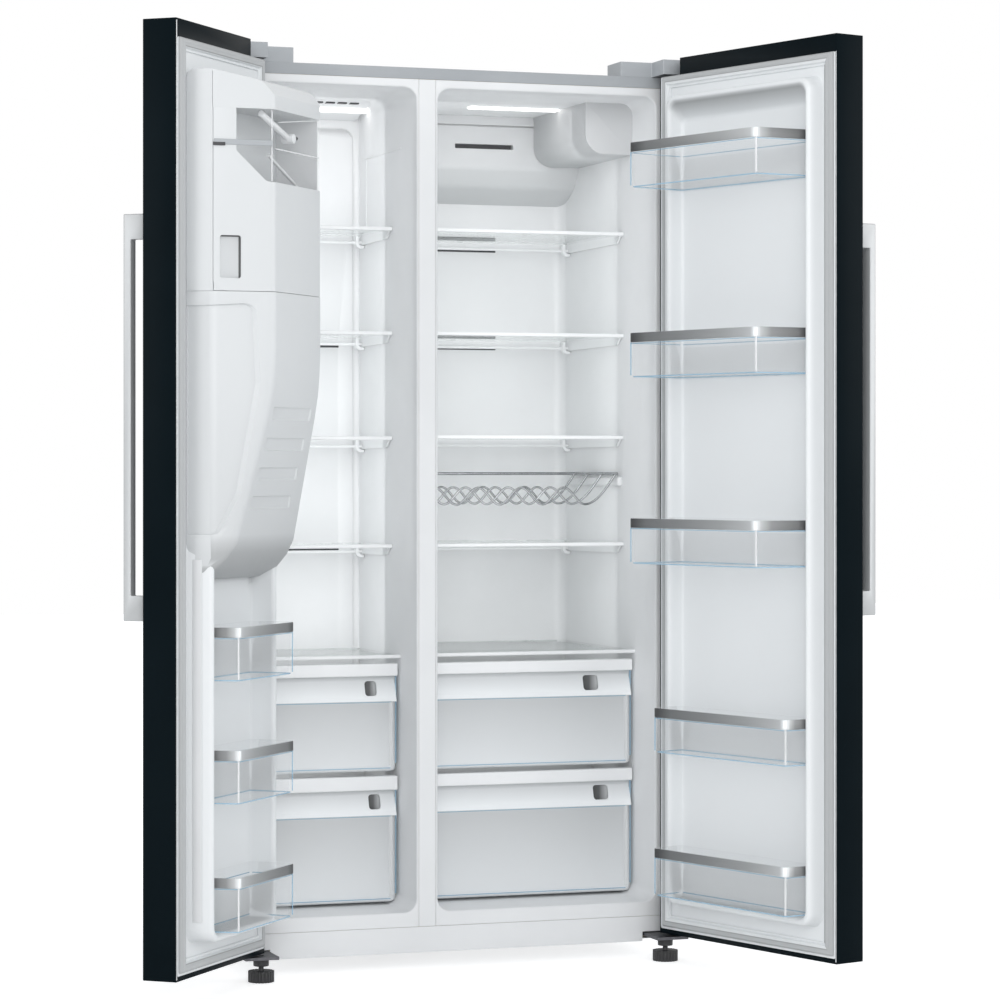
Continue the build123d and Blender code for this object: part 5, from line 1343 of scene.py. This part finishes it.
outer = chute_skin("chute_outer", 0)
middle = chute_skin("chute_middle", 2.2)
inner = chute_skin("chute_inner", 4.2)
wide = [(352, 1270, 3), (292, 1276, 16), (287, 1130, 60), (311, 930, 40), (338, 857, 10), (352, 857, 3)]
slim = [(341.5, 1258, 6), (305, 1258, 12), (312, 1060, 60), (338, 880, 12), (341.5, 880, 4)]
cut(outer, panel_cut("wide", wide))
cut(middle, panel_cut("slim", slim))
for piece in (outer, middle):
    round_edges(piece, 0.9 * MM, 2, 50)
recesses = []
for z in (1076, 1020, 966, 914):
    reach = chute_reach(z)
    lean = atan2(chute_reach(z + 15) - chute_reach(z - 15), 30 * MM / MM)
    bpy.ops.mesh.primitive_cube_add(size=1, location=(0, 0, 0), scale=(172 * MM, 10 * MM, 25 * MM))
    recess = bpy.context.object
    bpy.ops.object.transform_apply(location=True, rotation=True, scale=True)
    round_edges(recess, 4.5 * MM, 4)
    recess.location = (ice_x(345 - 75 / 89 * (reach - 54) - 18) - 92 * MM, INNER + (reach + 2.4) * MM, z * MM)
    recess.rotation_euler = (-lean, 0, 0)
    bpy.ops.object.transform_apply(location=True, rotation=True, scale=True)
    recesses.append(recess)
cut(outer, *recesses)
for piece in (outer, middle, inner):
    heights = (1290, 1190, 1150, 1110, 1070, 980, 880, 846)
    cut(piece, loft("chute_hollow", "Z", [(chute_plan(9, z, -1), z * MM) for z in heights]))
chute = join("chute_shell", [outer, middle, inner])


def chute_shade(vertex):
    """Painted shade: darker towards the underside, but for the upright side that runs on into the door's
    dyke.
    """
    shade = (vertex.co.z - 772 * MM) / (524 * MM)
    if abs(vertex.co.x - ice_x(345)) < 5 * MM and vertex.co.y < INNER + 50 * MM:
        return shade + (0.5 - shade) * max(0.0, min(1.0, (vertex.co.z - 790 * MM) / (52 * MM)))
    return shade


paint(chute, chute_shade)
settle(chute, "freezer_door", ice_shade_white, "liner_white", "chute_housing", place=freezer_place, angle=30)
print("chute", len(chute.data.vertices))

# %% [markdown]
# ## Air duct, filter housing and lights
# The fridge's upper back corner holds a bulging air duct with one outlet slot, whose darkness is painted
# shade on a plate behind it, and its upper right corner the water filter housing with a removable front cap;
# duct and filter are in darker whites as painted shade. Each ceiling has a lit lens.

# %% Duct, filter and lights
low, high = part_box("fridge_air_duct")
belly = [
    (high.y, low.z, 2 * MM),
    (high.y, high.z, 2 * MM),
    (low.y, high.z, 3 * MM),
    (low.y, 1607 * MM, 24 * MM),
    (low.y + 30 * MM, 1568 * MM, 50 * MM),
]
duct = prism("air_duct", "X", soft_outline(belly, 10), low.x - 20 * MM, high.x)
round_edges(duct, 12 * MM, 4, 60)
slot_tool = block(
    "slot_tool", (133 * MM, low.y - 5 * MM, 1647 * MM), (262 * MM, low.y + 14 * MM, 1657 * MM), 2 * MM
)
groove = block("groove", (-60 * MM, low.y - 5 * MM, 1694 * MM), (322 * MM, low.y + 6 * MM, 1697.5 * MM))
cut(duct, slot_tool, groove)
# Painted shade: a dark plate behind the cut slot stands for the shade inside it.
slot_back = block(
    "duct_slot", (135 * MM, low.y + 9 * MM, 1646 * MM), (260 * MM, low.y + 13 * MM, 1658 * MM)
)
settle(duct, "cabinet", duct_shade_white, "liner_white", "fridge_air_duct", angle=30)
settle(slot_back, "cabinet", dark_plastic, "dark_plastic")

low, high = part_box("water_filter_housing")
shape = [
    (low.x, low.z, 40 * MM),
    (high.x, low.z, 2 * MM),
    (high.x, high.z, 24 * MM),
    (low.x, high.z, 2 * MM),
]
body_part = prism("filter_body", "Y", soft_outline(shape, 10), low.y + 10 * MM, high.y)
cap = prism("filter_cap", "Y", soft_outline(shape, 10), low.y, low.y + 9 * MM)
round_edges(body_part, 1.2 * MM, 2, 60)
round_edges(cap, 3.0 * MM, 3, 60)
filter_piece = join("filter_housing", [cap, body_part])
settle(filter_piece, "cabinet", filter_shade_white, "trim_white", "water_filter_housing", angle=30)

slope = [
    (FRONT + 240 * MM, 1717.4 * MM, 0.2 * MM),
    (FRONT + 383.5 * MM, 1717.4 * MM, 0.2 * MM),
    (FRONT + 383.5 * MM, 1690 * MM, 3 * MM),
]
panel = prism("ceiling_panel", "X", soft_outline(slope), FREEZER_X[0] + 12 * MM, FREEZER_X[1] - 12 * MM)
settle(panel, "cabinet", liner_white, "liner_white")
low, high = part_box("compartment_lights")
lenses = [
    block(
        "fridge_lens",
        (111 * MM, FRONT + 262 * MM, 1712.5 * MM),
        (high.x, FRONT + 286 * MM, high.z),
        1.5 * MM,
    ),
    block(
        "freezer_lens",
        (-200 * MM, FRONT + 300 * MM, 1700 * MM),
        (-96 * MM, FRONT + 326 * MM, 1710 * MM),
        1.5 * MM,
    ),
]
settle(join("lenses", lenses), "cabinet", light_lens, "light_lens", "compartment_lights")
# Painted shade: dark blocks stand for the shade inside the ceiling vents.
vents = []
for number in range(4):
    x = (-222 + 25 * number) * MM
    vents.append(
        block("ceiling_vent", (x, FRONT + 258 * MM, 1711 * MM), (x + 18 * MM, FRONT + 270 * MM, 1714 * MM))
    )
settle(join("ceiling_vents", vents), "cabinet", dark_plastic, "dark_plastic")
print("filter", len(filter_piece.data.vertices))

# %% [markdown]
# ## Evaporator cover and back wall slots
# The freezer's back wall is a flat moulded cover with dark air slots; the fridge's back wall has pairs
# of the same slots behind its shelves. The slots are dark blocks that stand for the shade inside them, as
# painted shade.

# %% Evaporator cover and slots
cover = softened("evaporator_cover", 1.5 * MM)
wall = FRONT + 384 * MM


def panel_line(inset):
    """The outline of the panel pressed into the cover."""
    i = inset * MM
    return rounded(-400 * MM + i, -104 * MM - i, 376 * MM + i, 1675 * MM - i, 24 * MM - i)


groove = loft(
    "groove",
    "Y",
    [
        (panel_line(0), wall - 1 * MM),
        (panel_line(0), wall + 2.4 * MM),
        (panel_line(2.4), wall + 2.4 * MM),
        (panel_line(2.4), wall - 1 * MM),
        (panel_line(0), wall - 1 * MM),
    ],
    caps=(False, False),
    weld=True,
)
cut(cover, groove)
settle(cover, "cabinet", liner_white, "liner_white", "evaporator_cover")
# Painted shade: dark blocks on the back walls stand for the shade inside the air slots.
dark = []
for z in (1229, 811):
    dark.append(
        block(
            "freezer_slot",
            (-285 * MM, wall - 1 * MM, (z - 5) * MM),
            (-135 * MM, wall + 2 * MM, (z + 5) * MM),
            1 * MM,
        )
    )
for z in (1464, 1440, 1256, 1232):
    dark.append(
        block(
            "fridge_slot",
            (20 * MM, FRONT + DEPTH - 2.6 * MM, (z - 4) * MM),
            (255 * MM, FRONT + DEPTH - 0.6 * MM, (z + 4) * MM),
            0.8 * MM,
        )
    )
settle(join("wall_slots", dark), "cabinet", dark_plastic, "dark_plastic")
side_x = FREEZER_X[1] - 1.6 * MM
ribs = [
    block(
        "rib",
        (side_x - 1 * MM, FRONT + start * MM, foot * MM),
        (side_x + 1 * MM, FRONT + 336 * MM, 1610 * MM),
        0.5 * MM,
    )
    for start, foot in ((333, 1422), (97, 1607))
]
settle(join("wall_ribs", ribs), "cabinet", liner_white, "liner_white")
print("cover", len(cover.data.vertices))

# %% [markdown]
# ## Bottle rack
# Four wires bent in the same wave lie one behind the other, so that what is laid on them rests in the
# hollows. Their right ends rise to a rod on the wall bracket, and a straight wire runs along the back.
# The wave could be a mesh bent by hand, but a wire is simplest as a line of points with a round section.


# %% Bottle rack
def wire(name, points, radius):
    """A bent wire along a line of points."""
    bpy.ops.curve.primitive_nurbs_path_add()
    curve = bpy.context.object
    curve.name = name
    curve.data.splines.clear()
    line = curve.data.splines.new("POLY")
    line.points.add(len(points) - 1)
    for point, place in zip(line.points, points):
        point.co = (*place, 1)
    curve.data.bevel_depth = radius
    curve.data.bevel_resolution = 3
    curve.data.use_fill_caps = True
    bpy.ops.object.convert(target="MESH")
    bpy.context.object.data.name = name
    bpy.ops.object.transform_apply(location=True, rotation=True, scale=True)
    return bpy.context.object


def rack_height(x):
    """The wave of the rack, which rises to the wall rod past its last hollow."""
    if x > 327:
        return 963 - 60 * cos(radians(90 * (x - 327) / 66))
    return 920 + 17 * cos(radians(360 * (x - 97) / 92))


wires = []
for depth in (176, 256, 336, 416):
    steps = [-36 + 3 * n for n in range(144)]
    wires.append(wire("wave", [(x * MM, FRONT + depth * MM, rack_height(x) * MM) for x in steps], 2.3 * MM))
for name, start, end, radius in (
    ("rail", (-38, 416), (396, 416), 3),
    ("side_rod", (395, 172), (395, 420), 3.5),
):
    ends = [(x * MM, FRONT + y * MM, 965 * MM) for x, y in (start, end)]
    wires.append(rod(name, *ends, radius * MM, 16))
rack = join("bottle_rack_wires", wires)
settle(rack, "cabinet", rack_chrome, "rack_chrome", "bottle_rack")
bracket = block(
    "rack_bracket",
    (398 * MM, FRONT + 176 * MM, 940 * MM),
    (410 * MM, FRONT + 470 * MM, 959 * MM),
    4 * MM,
)
settle(bracket, "cabinet", trim_white, "trim_white")
print("rack", len(rack.data.vertices))

# %% [markdown]
# ## Cabinet shell, hinges and feet
# Folded sheet and cast parts keep their CAD shape with a small radius on every fold.

# %% Cabinet shell, hinges and feet
for node, width in (
    ("cabinet_wrapper", 0.6),
    ("back_panel", 0),
    ("base_plate", 0.5),
    ("mullion_strip", 0.6),
    ("kick_plate", 0.8),
    ("hinge_covers", 2.2),
    ("top_hinges", 0.6),
    ("bottom_hinges", 0.8),
    ("left_front_foot", 1.0),
    ("right_front_foot", 1.0),
    ("rear_rollers", 1.0),
    ("dispenser_niche", 0.6),
    ("dispenser_paddle", 1.0),
    ("ice_flap", 0.6),
    ("compressor", 0.8),
    ("water_valve", 0.8),
):
    body = frame["nodes"][node]["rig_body"]
    piece = softened(node, width * MM)
    settle(piece, body, finishes[slots[node]], slots[node], node, angle=18)
for side, x in (("left", -414), ("right", 414)):
    foot_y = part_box(side + "_front_foot")[0].y + 25 * MM
    ends = (x * MM, foot_y, 30 * MM), (x * MM, foot_y, 44 * MM)
    collar = rod(side + "_collar", *ends, 15 * MM, 32, 1.5 * MM)
    settle(collar, frame["nodes"][side + "_front_foot"]["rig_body"], foot_black, "foot_black")
print("softened pieces done")

# %% [markdown]
# ## Stage, light and camera
# The photo is a studio picture on white: soft light from all round, a little stronger from the front,
# and a long lens standing to the left of the middle at about half the door's height.

# %% Floor, world and lamps
def seen_rays(tree):
    """1 for a ray from the camera, a mirror or glass, and 0 for one that lights a surface."""
    path = tree.nodes.new("ShaderNodeLightPath")
    direct = tree.nodes.new("ShaderNodeMath")
    direct.operation = "MAXIMUM"
    either = tree.nodes.new("ShaderNodeMath")
    either.operation = "MAXIMUM"
    tree.links.new(path.outputs["Is Camera Ray"], direct.inputs[0])
    tree.links.new(path.outputs["Is Transmission Ray"], direct.inputs[1])
    tree.links.new(direct.outputs[0], either.inputs[0])
    tree.links.new(path.outputs["Is Glossy Ray"], either.inputs[1])
    return either.outputs[0]


bpy.ops.mesh.primitive_plane_add(size=30, location=(0, 0, 0))
floor = bpy.context.object
floor.name = floor.data.name = "floor"
floor_white, floor_tree, floor_shader = new_finish("floor_white", 0.9)
tint(floor_tree, floor_shader, noise(floor_tree, 0.5), (0.88, 0.88, 0.88), (0.92, 0.92, 0.92))
floor_shader.inputs["Emission Color"].default_value = (1, 1, 1, 1)
glow = floor_tree.nodes.new("ShaderNodeMath")
glow.operation = "MULTIPLY"
glow.inputs[1].default_value = 0.55
floor_tree.links.new(seen_rays(floor_tree), glow.inputs[0])
floor_tree.links.new(glow.outputs[0], floor_shader.inputs["Emission Strength"])
floor.data.materials.append(floor_white)

world = bpy.data.worlds.new("studio")
bpy.context.scene.world = world
world.use_nodes = True
sky = world.node_tree
for node in list(sky.nodes):
    sky.nodes.remove(node)
dome = sky.nodes.new("ShaderNodeBackground")
dome.inputs["Color"].default_value = (0.96, 0.98, 1.0, 1)
dome.inputs["Strength"].default_value = 0.70
white = sky.nodes.new("ShaderNodeBackground")
white.inputs["Color"].default_value = (1, 1, 1, 1)
white.inputs["Strength"].default_value = 1.0
choose = sky.nodes.new("ShaderNodeMixShader")
output = sky.nodes.new("ShaderNodeOutputWorld")
sky.links.new(seen_rays(sky), choose.inputs["Fac"])
sky.links.new(dome.outputs["Background"], choose.inputs[1])
sky.links.new(white.outputs["Background"], choose.inputs[2])
sky.links.new(choose.outputs["Shader"], output.inputs["Surface"])


def lamp(name, place, target, size, power):
    """A soft square lamp aimed at a point."""
    bpy.ops.object.light_add(type="AREA", location=place)
    light = bpy.context.object
    light.name = name
    light.data.size = size
    light.data.energy = power
    light.rotation_euler = (Vector(target) - Vector(place)).to_track_quat("-Z", "Y").to_euler()
    return light


lamp("front_lamp", (-1.2, -6.0, 2.6), (0, 0, 0.9), 3.0, 100)
lamp("left_lamp", (-5.0, -2.0, 2.4), (0, -0.3, 0.9), 2.5, 43)
lamp("right_lamp", (4.5, -3.0, 2.4), (0, -0.3, 0.9), 2.5, 52)
for name, x, y, z, wide, tall, power in (
    ("freezer_lamp", -0.25, -0.10, 0.93, 0.30, 1.55, 0.88),
    ("fridge_lamp", 0.18, -0.10, 0.93, 0.42, 1.55, 0.95),
    ("freezer_mouth_lamp", -0.25, -0.29, 1.22, 0.28, 0.9, 0.18),
    ("fridge_mouth_lamp", 0.18, -0.29, 1.22, 0.40, 0.9, 0.34),
):
    strip = lamp(name, (x, y, z), (x, 0.2, z), wide, power)
    strip.data.shape = "RECTANGLE"
    strip.data.size_y = tall

# %% [markdown]
# ## Camera
# The lens is long and level, so that upright edges stay upright, and a lens shift frames the object
# instead of a tilt.

# %% Camera
bpy.ops.object.camera_add(location=(-2.030, -6.4015, 0.9803), rotation=(radians(90), 0, radians(-19.1)))
camera = bpy.context.object
camera.data.lens = 118.29
camera.data.sensor_width = 36
camera.data.shift_y = -0.0337
camera.data.clip_end = 60
bpy.context.scene.camera = camera
bpy.context.scene.view_settings.view_transform = "Standard"

print("camera", [round(v, 3) for v in camera.location])
